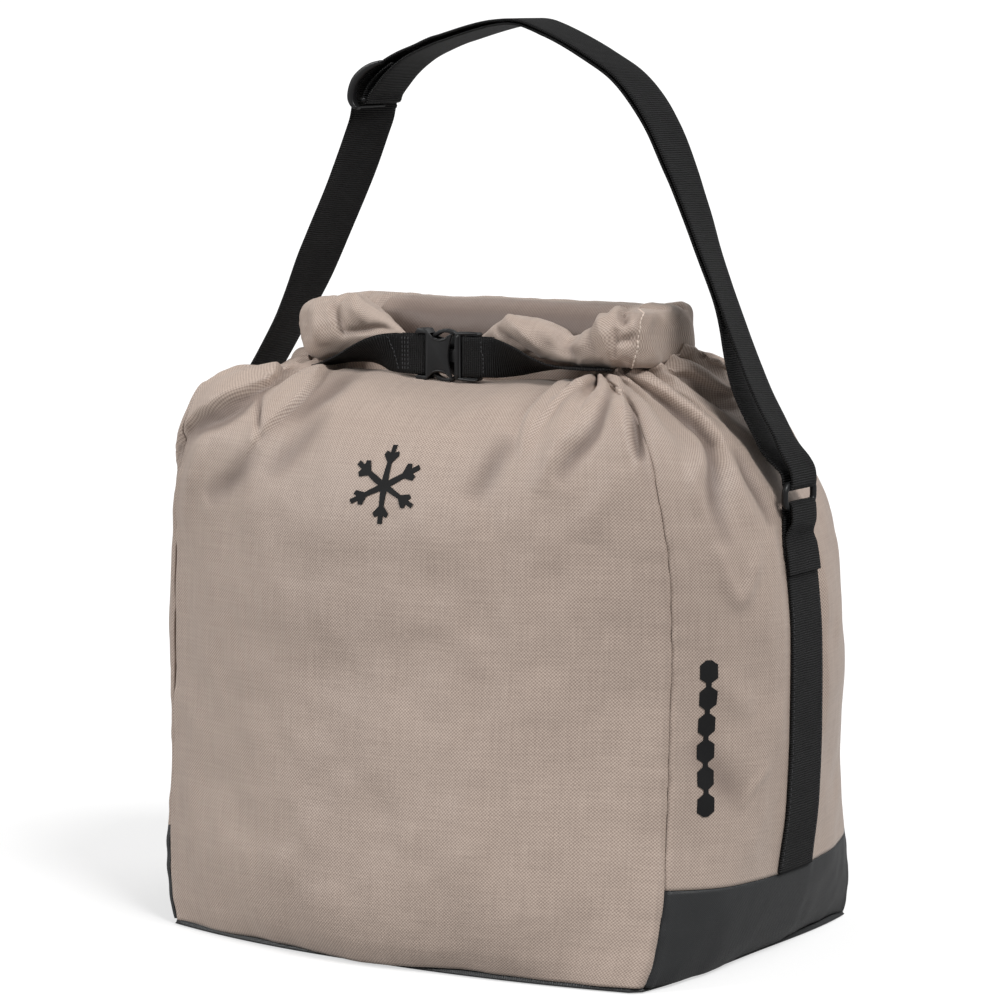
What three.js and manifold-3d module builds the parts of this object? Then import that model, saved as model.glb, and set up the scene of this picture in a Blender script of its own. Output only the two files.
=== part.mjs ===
// Ski boot bag: a soft roll-top bag with a coated base, side anchor webbing,
// a side-release closure buckle and an adjustable shoulder strap.
// Units are millimetres. +Z is up, +X is to the right seen from the front,
// +Y points to the back. The origin is the middle of the underside.
import * as THREE from 'three';
import { mergeVertices } from 'three/addons/utils/BufferGeometryUtils.js';
import Module from 'manifold-3d';

const wasm = await Module();
wasm.setup();

// ---------------------------------------------------------------- shared dimensions
const BASE_H = 61;             // height of the coated base at the sides
const BOTTOM_T = 2;            // bottom panel
const BOTTOM_CLEARANCE = 0.5;  // between the bottom panel and whatever stands on it
const ABOVE_BOTTOM = BOTTOM_T + BOTTOM_CLEARANCE;

const WEB_W = 40;              // shoulder and side webbing
const WEB_T = 1.5;
const LOOP_R = 3.1;            // middle of a webbing ply wrapped round a ring bar
const LOOP_W = 31;             // webbing gathered inside a ring

const RING_X = 217.5;          // ring bars, measured from the middle of the bag
const RING_LOW_Z = 276;
const RING_HIGH_Z = 292;

const SIDES = { right: 1, left: -1 };  // sign of x on each side

// ---------------------------------------------------------------- materials
const material = ({ name, color, roughness }) =>
  new THREE.MeshStandardMaterial({ name, color, roughness, metalness: 0 });
const wovenFabric = () => material({ name: 'woven_fabric', color: 0xa99a90, roughness: 0.75 });
const coatedFabric = () => material({ name: 'coated_fabric', color: 0x2b2d30, roughness: 0.45 });
const webbing = () => material({ name: 'webbing', color: 0x121214, roughness: 0.7 });
const plastic = () => material({ name: 'moulded_plastic', color: 0x1b1b1d, roughness: 0.4 });
const board = () => material({ name: 'board', color: 0x33343a, roughness: 0.7 });
const print = () => material({ name: 'print', color: 0x101012, roughness: 0.6 });

// ---------------------------------------------------------------- mesh helpers
const group = new THREE.Group();

function addMesh(name, geometry, meshMaterial) {
  geometry.computeVertexNormals();
  const mesh = new THREE.Mesh(geometry, meshMaterial);
  mesh.name = name;
  group.add(mesh);
}

const vec = (x, y, z) => new THREE.Vector3(x, y, z);
const vecXZ = ([x, z]) => vec(x, 0, z);
const ALONG_Y = vec(0, 1, 0);

function signedVolume(points, index) {
  let volume = 0;
  for (let i = 0; i < index.length; i += 3) {
    const [p, q, r] = [0, 1, 2].map(k => points[index[i + k]]);
    volume += p[0] * (q[1] * r[2] - q[2] * r[1])
      - p[1] * (q[0] * r[2] - q[2] * r[0])
      + p[2] * (q[0] * r[1] - q[1] * r[0]);
  }
  return volume / 6;
}

// geometry from [x, y, z] points and a consistent index, turned to face outwards
function meshFrom(points, index) {
  if (signedVolume(points, index) < 0) {
    for (let i = 0; i < index.length; i += 3) {
      [index[i], index[i + 1]] = [index[i + 1], index[i]];
    }
  }
  const geometry = new THREE.BufferGeometry();
  geometry.setAttribute('position', new THREE.Float32BufferAttribute(points.flat(), 3));
  geometry.setIndex(index);
  return geometry;
}

// two triangles that share the diagonal a-c
const pushQuad = (index, a, b, c, d) => index.push(a, b, c, a, c, d);

// closed plate between two offsets of a surface; pointAt(i, j, offset) gives a point
function plate(columns, rows, pointAt, outerOffset, innerOffset) {
  const points = [];
  const index = [];
  for (const offset of [outerOffset, innerOffset]) {
    for (let i = 0; i <= columns; i++) {
      for (let j = 0; j <= rows; j++) points.push(pointAt(i, j, offset));
    }
  }
  const outer = (i, j) => i * (rows + 1) + j;
  const inner = (i, j) => (columns + 1) * (rows + 1) + outer(i, j);
  for (let i = 0; i < columns; i++) {
    for (let j = 0; j < rows; j++) {
      pushQuad(index, outer(i, j), outer(i + 1, j), outer(i + 1, j + 1), outer(i, j + 1));
      pushQuad(index, inner(i, j), inner(i, j + 1), inner(i + 1, j + 1), inner(i + 1, j));
    }
  }
  for (let i = 0; i < columns; i++) {
    pushQuad(index, outer(i + 1, 0), outer(i, 0), inner(i, 0), inner(i + 1, 0));
    pushQuad(index, outer(i, rows), outer(i + 1, rows), inner(i + 1, rows), inner(i, rows));
  }
  for (let j = 0; j < rows; j++) {
    pushQuad(index, outer(0, j), outer(0, j + 1), inner(0, j + 1), inner(0, j));
    pushQuad(index, outer(columns, j + 1), outer(columns, j),
      inner(columns, j), inner(columns, j + 1));
  }
  return meshFrom(points, index);
}

// direction of an open line at point i, from its neighbours
function tangentAt(points, i) {
  const next = points[Math.min(i + 1, points.length - 1)];
  const previous = points[Math.max(i - 1, 0)];
  return new THREE.Vector3().subVectors(next, previous).normalize();
}

// ribbon of rectangular section through stations { point, width, across };
// across is the direction of the width, along Y unless given
function ribbon(stations, thickness) {
  const line = stations.map(station => station.point);
  const points = [];
  const index = [];
  stations.forEach(({ point, width, across = ALONG_Y }, i) => {
    const tangent = tangentAt(line, i);
    const side = across.clone().addScaledVector(tangent, -across.dot(tangent)).normalize();
    const normal = new THREE.Vector3().crossVectors(tangent, side).normalize();
    for (const [u, v] of [[-0.5, -0.5], [0.5, -0.5], [0.5, 0.5], [-0.5, 0.5]]) {
      const corner = point.clone();
      corner.addScaledVector(side, u * width).addScaledVector(normal, v * thickness);
      points.push(corner.toArray());
    }
  });
  for (let i = 0; i < stations.length - 1; i++) {
    for (let k = 0; k < 4; k++) {
      const a = 4 * i + k;
      const b = 4 * i + (k + 1) % 4;
      // both broad faces share one diagonal, so a twisted ribbon keeps its thickness
      if (k === 2) pushQuad(index, b, b + 4, a + 4, a);
      else pushQuad(index, a, b, b + 4, a + 4);
    }
  }
  const end = 4 * (stations.length - 1);
  pushQuad(index, 0, 3, 2, 1);
  // the first cap above and this one face away from each other
  pushQuad(index, end, end + 1, end + 2, end + 3);
  return meshFrom(points, index);
}

// closed tube of round section along a closed path that lies square to `up`
function closedTube(path, radius, segments, up) {
  const points = [];
  const index = [];
  const count = path.length;
  path.forEach((centre, i) => {
    const tangent = new THREE.Vector3()
      .subVectors(path[(i + 1) % count], path[(i - 1 + count) % count])
      .normalize();
    const side = new THREE.Vector3().crossVectors(tangent, up).normalize();
    for (let k = 0; k < segments; k++) {
      const angle = 2 * Math.PI * (k + 0.5) / segments;
      const p = centre.clone();
      p.addScaledVector(up, radius * Math.cos(angle));
      p.addScaledVector(side, radius * Math.sin(angle));
      points.push(p.toArray());
    }
  });
  for (let i = 0; i < count; i++) {
    for (let k = 0; k < segments; k++) {
      const row = i * segments;
      const nextRow = (i + 1) % count * segments;
      const nextK = (k + 1) % segments;
      pushQuad(index, row + k, nextRow + k, nextRow + nextK, row + nextK);
    }
  }
  return meshFrom(points, index);
}

// solid loft through closed rings of equal point counts, capped at both ends
function loft(rings) {
  const size = rings[0].length;
  const lastRow = (rings.length - 1) * size;
  const middle = ring => [0, 1, 2].map(axis => ring.reduce((sum, p) => sum + p[axis] / size, 0));
  const points = [...rings.flat(), middle(rings[0]), middle(rings.at(-1))];
  const startCentre = lastRow + size;
  const endCentre = startCentre + 1;
  const index = [];
  for (let i = 0; i < rings.length - 1; i++) {
    for (let k = 0; k < size; k++) {
      const a = i * size + k;
      const b = i * size + (k + 1) % size;
      pushQuad(index, a, b, b + size, a + size);
    }
  }
  for (let k = 0; k < size; k++) {
    const next = (k + 1) % size;
    index.push(startCentre, next, k);
    index.push(endCentre, lastRow + k, lastRow + next);
  }
  return meshFrom(points, index);
}

// keeps positions only and joins the vertices that coincide
function weld(geometry) {
  geometry.deleteAttribute('normal');
  geometry.deleteAttribute('uv');
  return mergeVertices(geometry, 1e-4);
}

function toManifold(geometry) {
  const welded = weld(geometry);
  return new wasm.Manifold(new wasm.Mesh({
    numProp: 3,
    vertProperties: new Float32Array(welded.attributes.position.array),
    triVerts: new Uint32Array(welded.index.array),
  }));
}

function fromManifold(solid) {
  const { vertProperties, triVerts } = solid.getMesh();
  const geometry = new THREE.BufferGeometry();
  const positions = new Float32Array(vertProperties);
  geometry.setAttribute('position', new THREE.BufferAttribute(positions, 3));
  geometry.setIndex(new THREE.BufferAttribute(new Uint32Array(triVerts), 1));
  return geometry;
}

const subtractAll = (solid, cutters) =>
  cutters.reduce((rest, cutter) => rest.subtract(toManifold(cutter)), solid);

// outline of [x, y] points pushed up along Z from z = 0
function extrude(outline, depth) {
  const shape = new THREE.Shape(outline.map(([x, y]) => new THREE.Vector2(x, y)));
  return new THREE.ExtrudeGeometry(shape, { depth, bevelEnabled: false });
}

// outline of [x, z] points pushed through along Y, centred on y = 0
const slabXZ = (outline, thickness) =>
  extrude(outline, thickness).translate(0, 0, -thickness / 2).rotateX(Math.PI / 2);

const boxAt = (size, centre) => new THREE.BoxGeometry(...size).translate(...centre);

// points of an arc from one angle to another, both ends included
function arc([centreU, centreV], radius, from, to, steps) {
  return Array.from({ length: steps + 1 }, (_, i) => {
    const angle = from + (to - from) * i / steps;
    return [centreU + radius * Math.cos(angle), centreV + radius * Math.sin(angle)];
  });
}

// rectangle with rounded corners, as [y, u] points about its middle
function roundedRectangle(halfY, halfU, radius) {
  const corners = [[1, 1], [-1, 1], [-1, -1], [1, -1]];
  return corners.flatMap(([signY, signU], i) => {
    const centre = [signY * (halfY - radius), signU * (halfU - radius)];
    return arc(centre, radius, i * Math.PI / 2, (i + 1) * Math.PI / 2, 3);
  });
}

// ---------------------------------------------------------------- body surface
// Each section is four bowed arcs that meet at the corner seams (+-cornerX, +-cornerY).
// Columns: z, cornerX, cornerY, bow of the front and back, bow of the sides
const SECTIONS = [
  [0, 170, 126, 24, 12],
  [15, 175, 121.5, 36, 21.4],
  [61, 181.5, 113.2, 46.2, 33.6],
  [100, 182, 107.8, 48.8, 37.3],
  [145, 182, 105.9, 48.2, 38],
  [200, 182.3, 103.4, 46.8, 36.5],
  [245, 181.2, 103.7, 42.9, 33.6],
  [280, 178, 106.3, 36.7, 31],
  [305, 173.7, 106.5, 28.5, 28],
  [322, 158, 96, 20.3, 26],
  [336, 138, 78, 12.5, 27],
  [345, 118, 62, 8, 28],
];
const COLLAR_SECTION = [349, 104, 7, 0.4, 10];  // same columns, where the shoulders end
const WALL_TOP = SECTIONS.at(-1)[0];
const BOW_POWER = 2.3;

// shape-preserving cubic interpolation through a table
function pchip(xs, ys) {
  const last = xs.length - 1;
  const steps = [];
  const slopes = [];
  for (let i = 0; i < last; i++) {
    steps.push(xs[i + 1] - xs[i]);
    slopes.push((ys[i + 1] - ys[i]) / steps[i]);
  }
  const tangents = new Array(last + 1).fill(0);
  for (let i = 1; i < last; i++) {
    if (slopes[i - 1] * slopes[i] > 0) {
      const weightBefore = 2 * steps[i] + steps[i - 1];
      const weightAfter = steps[i] + 2 * steps[i - 1];
      tangents[i] = (weightBefore + weightAfter)
        / (weightBefore / slopes[i - 1] + weightAfter / slopes[i]);
    }
  }
  tangents[0] = slopes[0];
  tangents[last] = slopes[last - 1];
  return x => {
    let i = 0;
    while (i < last - 1 && x > xs[i + 1]) i++;
    const t = (x - xs[i]) / steps[i];
    const t2 = t * t;
    const t3 = t2 * t;
    return ys[i] * (2 * t3 - 3 * t2 + 1) + steps[i] * tangents[i] * (t3 - 2 * t2 + t)
      + ys[i + 1] * (-2 * t3 + 3 * t2) + steps[i] * tangents[i + 1] * (t3 - t2);
  };
}
const SECTION_CURVES = [1, 2, 3, 4].map(column =>
  pchip(SECTIONS.map(row => row[0]), SECTIONS.map(row => row[column])));

// A level is a height up to WALL_TOP; the next 1.0 runs in over the shoulder to the collar.
function sectionAt(level) {
  const height = Math.min(level, WALL_TOP);
  const share = level - height;
  const values = [height, ...SECTION_CURVES.map(curve => curve(height))];
  const [z, cornerX, cornerY, bowY, bowX] =
    values.map((value, i) => value + (COLLAR_SECTION[i] - value) * share);
  return { z, cornerX, cornerY, bowY, bowX };
}

// s runs from -1 to 1 across a wall, seam to seam
const bowed = (s, corner, bow) => corner + bow * (1 - Math.abs(s) ** BOW_POWER);
const WALLS = {
  front: (s, q) => [s * q.cornerX, -bowed(s, q.cornerY, q.bowY), q.z],
  back: (s, q) => [-s * q.cornerX, bowed(s, q.cornerY, q.bowY), q.z],
  right: (s, q) => [bowed(s, q.cornerX, q.bowX), s * q.cornerY, q.z],
  left: (s, q) => [-bowed(s, q.cornerX, q.bowX), -s * q.cornerY, q.z],
};
const halfWidth = (wall, section) =>
  (wall === 'front' || wall === 'back') ? section.cornerX : section.cornerY;

// point on a wall, moved outwards by offset along the surface normal
function wallPoint(wall, s, level, offset) {
  const pointAt = WALLS[wall];
  const section = sectionAt(level);
  const point = vec(...pointAt(s, section));
  const stepS = 1e-3;
  // the level differences stay on one side of the crease at WALL_TOP
  const onShoulder = level > WALL_TOP;
  const stepLevel = onShoulder ? 1e-3 : 1e-2;
  const above = Math.min(level + stepLevel, onShoulder ? WALL_TOP + 1 : WALL_TOP);
  const below = Math.max(level - stepLevel, onShoulder ? WALL_TOP + 1e-9 : SECTIONS[0][0]);
  const across = vec(...pointAt(s + stepS, section)).sub(vec(...pointAt(s - stepS, section)));
  const upward = vec(...pointAt(s, sectionAt(above))).sub(vec(...pointAt(s, sectionAt(below))));
  const normal = across.cross(upward).normalize();
  const outward = vec(point.x, point.y, (section.z - 170) * 0.6);
  if (normal.dot(outward) < 0) normal.negate();
  return point.addScaledVector(normal, offset).toArray();
}

// ---------------------------------------------------------------- body shell
const FABRIC_T = 2;            // padded fabric wall
const SEAM_GAPS = { broad: 0.95, side: 1.3, base: 1.8 };  // panel edge to seam line
const BASE_JOIN_GAP = 0.5;     // each side of the join between base and side panel
const COLUMN_POWER = 0.9;      // spacing of the panel columns
const BOARD_T = 3;
const BOARD_INSET = 9;
const OUTLINE_STEPS = 10;      // per wall

const BASE_LEVELS = [ABOVE_BOTTOM, 15, 38];
const UPPER_LEVELS = [
  100, 145, 190, 230, 262, 285, 303, 318, 330, 339, WALL_TOP, WALL_TOP + 0.4,
];

function panel(wall, columns, levels, gap) {
  const pointAt = (i, j, offset) => {
    const limit = 1 - gap / halfWidth(wall, sectionAt(levels[j]));
    const even = -1 + 2 * i / columns;
    const s = Math.sign(even) * Math.abs(even) ** COLUMN_POWER * limit;
    return wallPoint(wall, s, levels[j], offset);
  };
  return plate(columns, levels.length - 1, pointAt, 0, -FABRIC_T);
}

// flat plate in the outline of the underside, drawn in by inset
function basePlate(inset, bottomZ, thickness) {
  const section = sectionAt(0);
  const outline = ['front', 'right', 'back', 'left'].flatMap(wall =>
    Array.from({ length: OUTLINE_STEPS }, (_, i) => {
      const [x, y] = WALLS[wall](-1 + 2 * i / OUTLINE_STEPS, section);
      const reach = Math.hypot(x, y);
      return [x * (reach - inset) / reach, y * (reach - inset) / reach];
    }));
  return extrude(outline, thickness).translate(0, 0, bottomZ);
}

const broadLevels = [...BASE_LEVELS, BASE_H, ...UPPER_LEVELS, WALL_TOP + 0.75];
for (const wall of ['front', 'back']) {
  addMesh(`${wall}_panel`, panel(wall, 16, broadLevels, SEAM_GAPS.broad), wovenFabric());
}
const sideLevels = [BASE_H + BASE_JOIN_GAP, ...UPPER_LEVELS];
for (const side in SIDES) {
  addMesh(`${side}_side_panel`, panel(side, 12, sideLevels, SEAM_GAPS.side), wovenFabric());
}
const baseLevels = [...BASE_LEVELS, BASE_H - BASE_JOIN_GAP];
for (const side in SIDES) {
  addMesh(`${side}_base_panel`, panel(side, 12, baseLevels, SEAM_GAPS.base), coatedFabric());
}
addMesh('bottom_panel', basePlate(0, 0, BOTTOM_T), coatedFabric());
addMesh('base_board', basePlate(BOARD_INSET, ABOVE_BOTTOM, BOARD_T), board());

// ---------------------------------------------------------------- side webbing
const SIDE_WEB_LEVELS = [BASE_H + 1.5, 90, 120, 150, 180, 205, 225, 243];
const SIDE_WEB_GAP = 0.55;     // between the webbing and the panel

// lies on the middle of a side panel
function sideWebbing(wall) {
  const columns = 4;
  const pointAt = (i, j, offset) => {
    const level = SIDE_WEB_LEVELS[j];
    const y = -WEB_W / 2 + WEB_W * i / columns;
    return wallPoint(wall, y / sectionAt(level).cornerY, level, offset);
  };
  const rows = SIDE_WEB_LEVELS.length - 1;
  return plate(columns, rows, pointAt, SIDE_WEB_GAP + WEB_T, SIDE_WEB_GAP);
}
for (const side in SIDES) addMesh(`${side}_side_webbing`, sideWebbing(side), webbing());

// ---------------------------------------------------------------- prints
const PRINT_GAP = 0.9;         // between the print and the wall
const PRINT_T = 0.5;

// six-armed frost mark
function frostOutline() {
  const arms = 6;
  const radius = 25;
  const notchRadius = 4.2;     // between two arms
  const armWidth = 3.1;
  // half an arm: distance out over radius, distance aside over armWidth
  const halfArm = [[0.55, 0.5], [0.74, 1.75], [0.84, 1.3], [0.8, 0.5], [1, 0.5]];
  const arm = [...halfArm.map(([out, aside]) => [out, -aside]), ...halfArm.toReversed()];
  const outline = [];
  for (let k = 0; k < arms; k++) {
    const angle = Math.PI / 2 + 2 * Math.PI * k / arms;
    const cos = Math.cos(angle);
    const sin = Math.sin(angle);
    for (const [out, aside] of arm) {
      const along = out * radius;
      const across = aside * armWidth;
      outline.push([cos * along - sin * across, sin * along + cos * across]);
    }
    const notch = angle + Math.PI / arms;
    outline.push([Math.cos(notch) * notchRadius, Math.sin(notch) * notchRadius]);
  }
  return outline;
}

// upright strip of studs joined by narrow necks
function studStripOutline() {
  const count = 6;
  const pitch = 16;
  const halfStud = 11 / 2;
  const halfNeck = 1.6;
  const neckEnd = 1.2;         // from the stud's limit to where its slope starts
  const rightEdge = [];
  for (let k = 0; k < count; k++) {
    const y = (k - (count - 1) / 2) * pitch;
    rightEdge.push(
      [halfNeck, y - pitch / 2 + neckEnd],
      [halfStud, y - pitch / 4],
      [halfStud, y + pitch / 4],
      [halfNeck, y + pitch / 2 - neckEnd],
    );
  }
  return [...rightEdge, ...rightEdge.map(([x, y]) => [-x, y]).reverse()];
}

// outline laid on a wall, its origin at [distance from the wall's middle, z]
function printOnWall(wall, outline, [originU, originZ]) {
  const geometry = extrude(outline, PRINT_T);
  const position = geometry.attributes.position;
  for (let i = 0; i < position.count; i++) {
    const z = position.getY(i) + originZ;
    const s = (position.getX(i) + originU) / halfWidth(wall, sectionAt(z));
    position.setXYZ(i, ...wallPoint(wall, s, z, PRINT_GAP + position.getZ(i)));
  }
  const welded = weld(geometry);
  const points = Array.from({ length: welded.attributes.position.count }, (_, i) =>
    new THREE.Vector3().fromBufferAttribute(welded.attributes.position, i).toArray());
  return meshFrom(points, Array.from(welded.index.array));
}
addMesh('front_emblem', printOnWall('front', frostOutline(), [2, 297]), print());
addMesh('side_emblem', printOnWall('right', studStripOutline(), [-85, 150]), print());

// ---------------------------------------------------------------- anchor loops and rings
const ANCHOR_T = 1.4;
const ANCHOR_FOOT_Z = 256;
const ANCHOR_GATHER_Z = 268;   // fully gathered to LOOP_W above this
const RING_HALF_Y = 18.5;
const RING_WIRE_R = 2.1;
const FRAME_CORNER_R = 4;      // corners of the rings and of the slider frame

// webbing up from the side, over the ring's lower bar and down again
function anchorLoop(sign) {
  const line = [
    [216.3, ANCHOR_FOOT_Z], [216.2, 262], [215.4, 269],
    ...arc([RING_X, RING_LOW_Z], LOOP_R, Math.PI, 0, 10),
    [219.7, 269], [218.6, 262], [218.4, ANCHOR_FOOT_Z],
  ];
  const stations = line.map(([x, z]) => {
    const spread = Math.max(ANCHOR_GATHER_Z - z, 0) / (ANCHOR_GATHER_Z - ANCHOR_FOOT_Z);
    return { point: vec(sign * x, 0, z), width: LOOP_W + (WEB_W - LOOP_W) * spread };
  });
  return ribbon(stations, ANCHOR_T);
}

function ring(sign) {
  const middleZ = (RING_LOW_Z + RING_HIGH_Z) / 2;
  const halfZ = (RING_HIGH_Z - RING_LOW_Z) / 2;
  const path = roundedRectangle(RING_HALF_Y, halfZ, FRAME_CORNER_R)
    .map(([y, z]) => vec(sign * RING_X, y, middleZ + z));
  return closedTube(path, RING_WIRE_R, 8, vec(1, 0, 0));
}
for (const side in SIDES) addMesh(`${side}_anchor_loop`, anchorLoop(SIDES[side]), webbing());
for (const side in SIDES) addMesh(`${side}_ring`, ring(SIDES[side]), plastic());

// ---------------------------------------------------------------- roll top
const ROLL = {
  y: 3, z: 378, radius: 21, left: -136, right: 126,
  thickness: 1.6, pitch: 4, turns: 3, stepsPerTurn: 20,
};

// spiral that starts at the bottom, rises at the back and winds inwards
function rolledMouth() {
  const outer = [];
  const inner = [];
  const half = ROLL.thickness / 2;
  for (let i = 0; i <= ROLL.stepsPerTurn * ROLL.turns; i++) {
    const turn = i / ROLL.stepsPerTurn;
    const angle = -Math.PI / 2 + 2 * Math.PI * turn;
    const radius = ROLL.radius - half - ROLL.pitch * turn;
    const at = r => [ROLL.y + r * Math.cos(angle), ROLL.z + r * Math.sin(angle)];
    outer.push(at(radius + half));
    inner.push(at(radius - half));
  }
  const geometry = extrude([...outer, ...inner.reverse()], ROLL.right - ROLL.left);
  // the outline lies in YZ and the depth runs along X
  const position = geometry.attributes.position;
  for (let i = 0; i < position.count; i++) {
    const [y, z, depth] = [position.getX(i), position.getY(i), position.getZ(i)];
    position.setXYZ(i, depth + ROLL.left, y, z);
  }
  return geometry;
}

// The two ends of the roll, folded forward in front of it.
// Columns: x, middle y, middle z, half depth along Y, half height along Z
const LEFT_END = [
  [-136, -31, 376, 8, 12],
  [-130, -33, 376, 12.5, 16.5],
  [-112, -34, 376, 14, 17.5],
  [-88, -35, 376.5, 13.5, 16],
  [-66, -37, 377, 11, 12.5],
  [-48, -39, 378, 7, 8],
];
const RIGHT_END = [
  [34, -39, 380, 7, 7],
  [52, -36, 379, 12, 13],
  [72, -34.5, 378, 14, 16.5],
  [98, -34, 377, 14.5, 18],
  [118, -33, 376.5, 12.5, 16.5],
  [125, -31, 376, 8, 12],
];
function rolledEnd(stations) {
  const segments = 14;
  return loft(stations.map(([x, y, z, halfY, halfZ]) =>
    Array.from({ length: segments }, (_, k) => {
      const angle = 2 * Math.PI * k / segments;
      return [x, y + halfY * Math.cos(angle), z + halfZ * Math.sin(angle)];
    })));
}

const rollMiddle = [(ROLL.left + ROLL.right) / 2, ROLL.y, ROLL.z];
addMesh('rolled_mouth', rolledMouth(), wovenFabric());
addMesh('mouth_stiffener', boxAt([240, 1.2, 12], rollMiddle), board());
addMesh('collar', boxAt([200, 3.2, 9], [-2, 0, 351.3]), wovenFabric());
addMesh('left_rolled_end', rolledEnd(LEFT_END), wovenFabric());
addMesh('right_rolled_end', rolledEnd(RIGHT_END), wovenFabric());

// ---------------------------------------------------------------- closure buckle
// Outlines are [x, z] points about the buckle's middle.
const BUCKLE = vec(-4.5, -55, 367);
const BUCKLE_SLOT_H = 26.4;    // webbing slots, along Z
const PLUG_SLOT_X = 11.9;
const atBuckle = geometry => geometry.translate(BUCKLE.x, BUCKLE.y, BUCKLE.z);
const mirrorZ = outline => outline.map(([x, z]) => [x, -z]);

// closes half an outline with its mirror image; points on the axis are not repeated
const symmetric = half =>
  [...half, ...mirrorZ(half).filter(([, z]) => z !== 0).reverse()];

function buckleSocket() {
  const upperHalf = [
    [-22.5, 14], [-21, 16.4], [-15, 16.4], [-12.8, 13.6], [-9.5, 11.2], [-5, 10.2],
    [-1, 11], [2, 13.2], [4.5, 14.2], [3.2, 10], [1.8, 5], [1.4, 0],
  ];
  return fromManifold(subtractAll(toManifold(slabXZ(symmetric(upperHalf), 9)), [
    boxAt([3.6, 20, BUCKLE_SLOT_H], [-16.8, 0, 0]),  // webbing slot
    boxAt([9, 4, BUCKLE_SLOT_H], [-19.5, -4, 0]),    // thin the end bar, front and back
    boxAt([9, 4, BUCKLE_SLOT_H], [-19.5, 4, 0]),
    boxAt([30, 5.2, 44], [2.4, 0, 0]),               // cavity for plug and arms
  ]));
}

function bucklePlug() {
  const body = symmetric([[5.6, -13], [7, -15], [21.5, -15], [22.5, -14]]);
  const tongue = symmetric([[-8.5, -2.6], [-7, -4], [6.5, -4]]);
  const slotted = subtractAll(toManifold(slabXZ(body, 6)), [
    boxAt([3.8, 20, BUCKLE_SLOT_H], [PLUG_SLOT_X, 0, 0]),
    boxAt([2.6, 20, BUCKLE_SLOT_H], [18.1, 0, 0]),
    boxAt([12, 2, BUCKLE_SLOT_H], [19.6, -3, 0]),    // thin the bars, front and back
    boxAt([12, 2, BUCKLE_SLOT_H], [19.6, 3, 0]),
  ]);
  return fromManifold(slotted.add(toManifold(slabXZ(tongue, 4))));
}

function upperArmOutline() {
  const midline = [
    [5.2, 13], [3, 14.4], [0, 15.3], [-3, 15.4], [-6, 14.6], [-8.6, 13.2], [-11, 11.6],
  ];
  const line = midline.map(vecXZ);
  const edge = sign => midline.map(([x, z], i) => {
    const tangent = tangentAt(line, i);
    const offset = sign * (i === 0 ? 0.9 : 1.15);
    return [x - tangent.z * offset, z + tangent.x * offset];
  });
  return [...edge(1), ...edge(-1).reverse()];
}
const ARM_T = 4.2;
const upperArm = upperArmOutline();
addMesh('buckle_socket', atBuckle(buckleSocket()), plastic());
addMesh('buckle_plug', atBuckle(bucklePlug()), plastic());
addMesh('upper_latch_arm', atBuckle(slabXZ(upperArm, ARM_T)), plastic());
addMesh('lower_latch_arm', atBuckle(slabXZ(mirrorZ(upperArm), ARM_T)), plastic());

// ---------------------------------------------------------------- closure webbing
const CLOSURE_W = 25;
const CLOSURE_T = 1.3;
const CLOSURE_PLY_Y = 3.05;    // middle of a ply from the middle of the bar

// Runs away from the buckle. Columns: x, y, z, then y and z of the width direction
const LEFT_RUN = [
  [-48, -55.2, 367, -0.06, 1],
  [-58, -54.6, 366.2, -0.2, 0.98],
  [-68, -53.9, 364.8, -0.42, 0.9],
  [-78, -52.8, 362.8, -0.68, 0.73],
  [-88, -51, 360, -0.88, 0.45],
  [-98, -48.8, 357.4, -0.98, 0.2],
  [-108, -46, 355.6, -1, 0.04],
];
const RIGHT_RUN = [
  [32, -56.2, 367, 0, 1],
  [44, -55.6, 366.6, -0.08, 1],
  [56, -54.9, 365.8, -0.24, 0.97],
  [68, -53.9, 364.2, -0.48, 0.88],
  [80, -52.4, 361.8, -0.76, 0.65],
  [92, -50.2, 359, -0.93, 0.37],
  [104, -47.4, 356.8, -1, 0.12],
];

// doubled round a buckle bar, then twisted flat to pass under a rolled end
function closureWebbing(turnX, sign, run) {
  // [distance from the turn, y] about the bar, from the rear ply to the front one
  const loop = [[19, 2.6], [12, 3], [2, CLOSURE_PLY_Y]];
  for (let i = 1; i < 8; i++) {
    const angle = Math.PI * i / 8;
    loop.push([-Math.sin(angle), CLOSURE_PLY_Y * Math.cos(angle)]);
  }
  loop.push([2, -CLOSURE_PLY_Y], [12, -3]);
  const loopRows = loop.map(([along, y]) =>
    [BUCKLE.x + turnX + sign * along, BUCKLE.y + y, BUCKLE.z, 0, 1]);
  const stations = [...loopRows, ...run].map(([x, y, z, acrossY, acrossZ]) =>
    ({ point: vec(x, y, z), width: CLOSURE_W, across: vec(0, acrossY, acrossZ) }));
  return ribbon(stations, CLOSURE_T);
}
addMesh('left_closure_webbing', closureWebbing(-17.2, -1, LEFT_RUN), webbing());
addMesh('right_closure_webbing', closureWebbing(PLUG_SLOT_X, 1, RIGHT_RUN), webbing());

// ---------------------------------------------------------------- shoulder strap
// Lines are [x, z] points in the plane y = 0.
const RING_LEAD = [[RING_X, RING_HIGH_Z], [216.2, 300.5], [211.5, 308], [199, 325]];
// middle of the doubled run, from above the slider to the right ring
const RUN_LINE = [
  [-79.2, 545.6], [-67, 551.6], [-50, 556.8], [-33, 562], [-11, 568.2], [8, 572.2],
  [22, 572.4], [38, 567.4], [54, 560.6], [72, 551.2], [90, 540.2], [104, 526],
  [116, 508.5], [127.5, 485], [138.5, 458.5], [149.2, 431], [160, 404.5],
  [171.5, 377.5], [186.5, 347], ...RING_LEAD.toReversed(),
];
// from the left ring up to the straight leg
const LEFT_LINE = [...RING_LEAD.map(([x, z]) => [-x, z]), [-185.5, 343], [-172.5, 361]];

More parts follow.
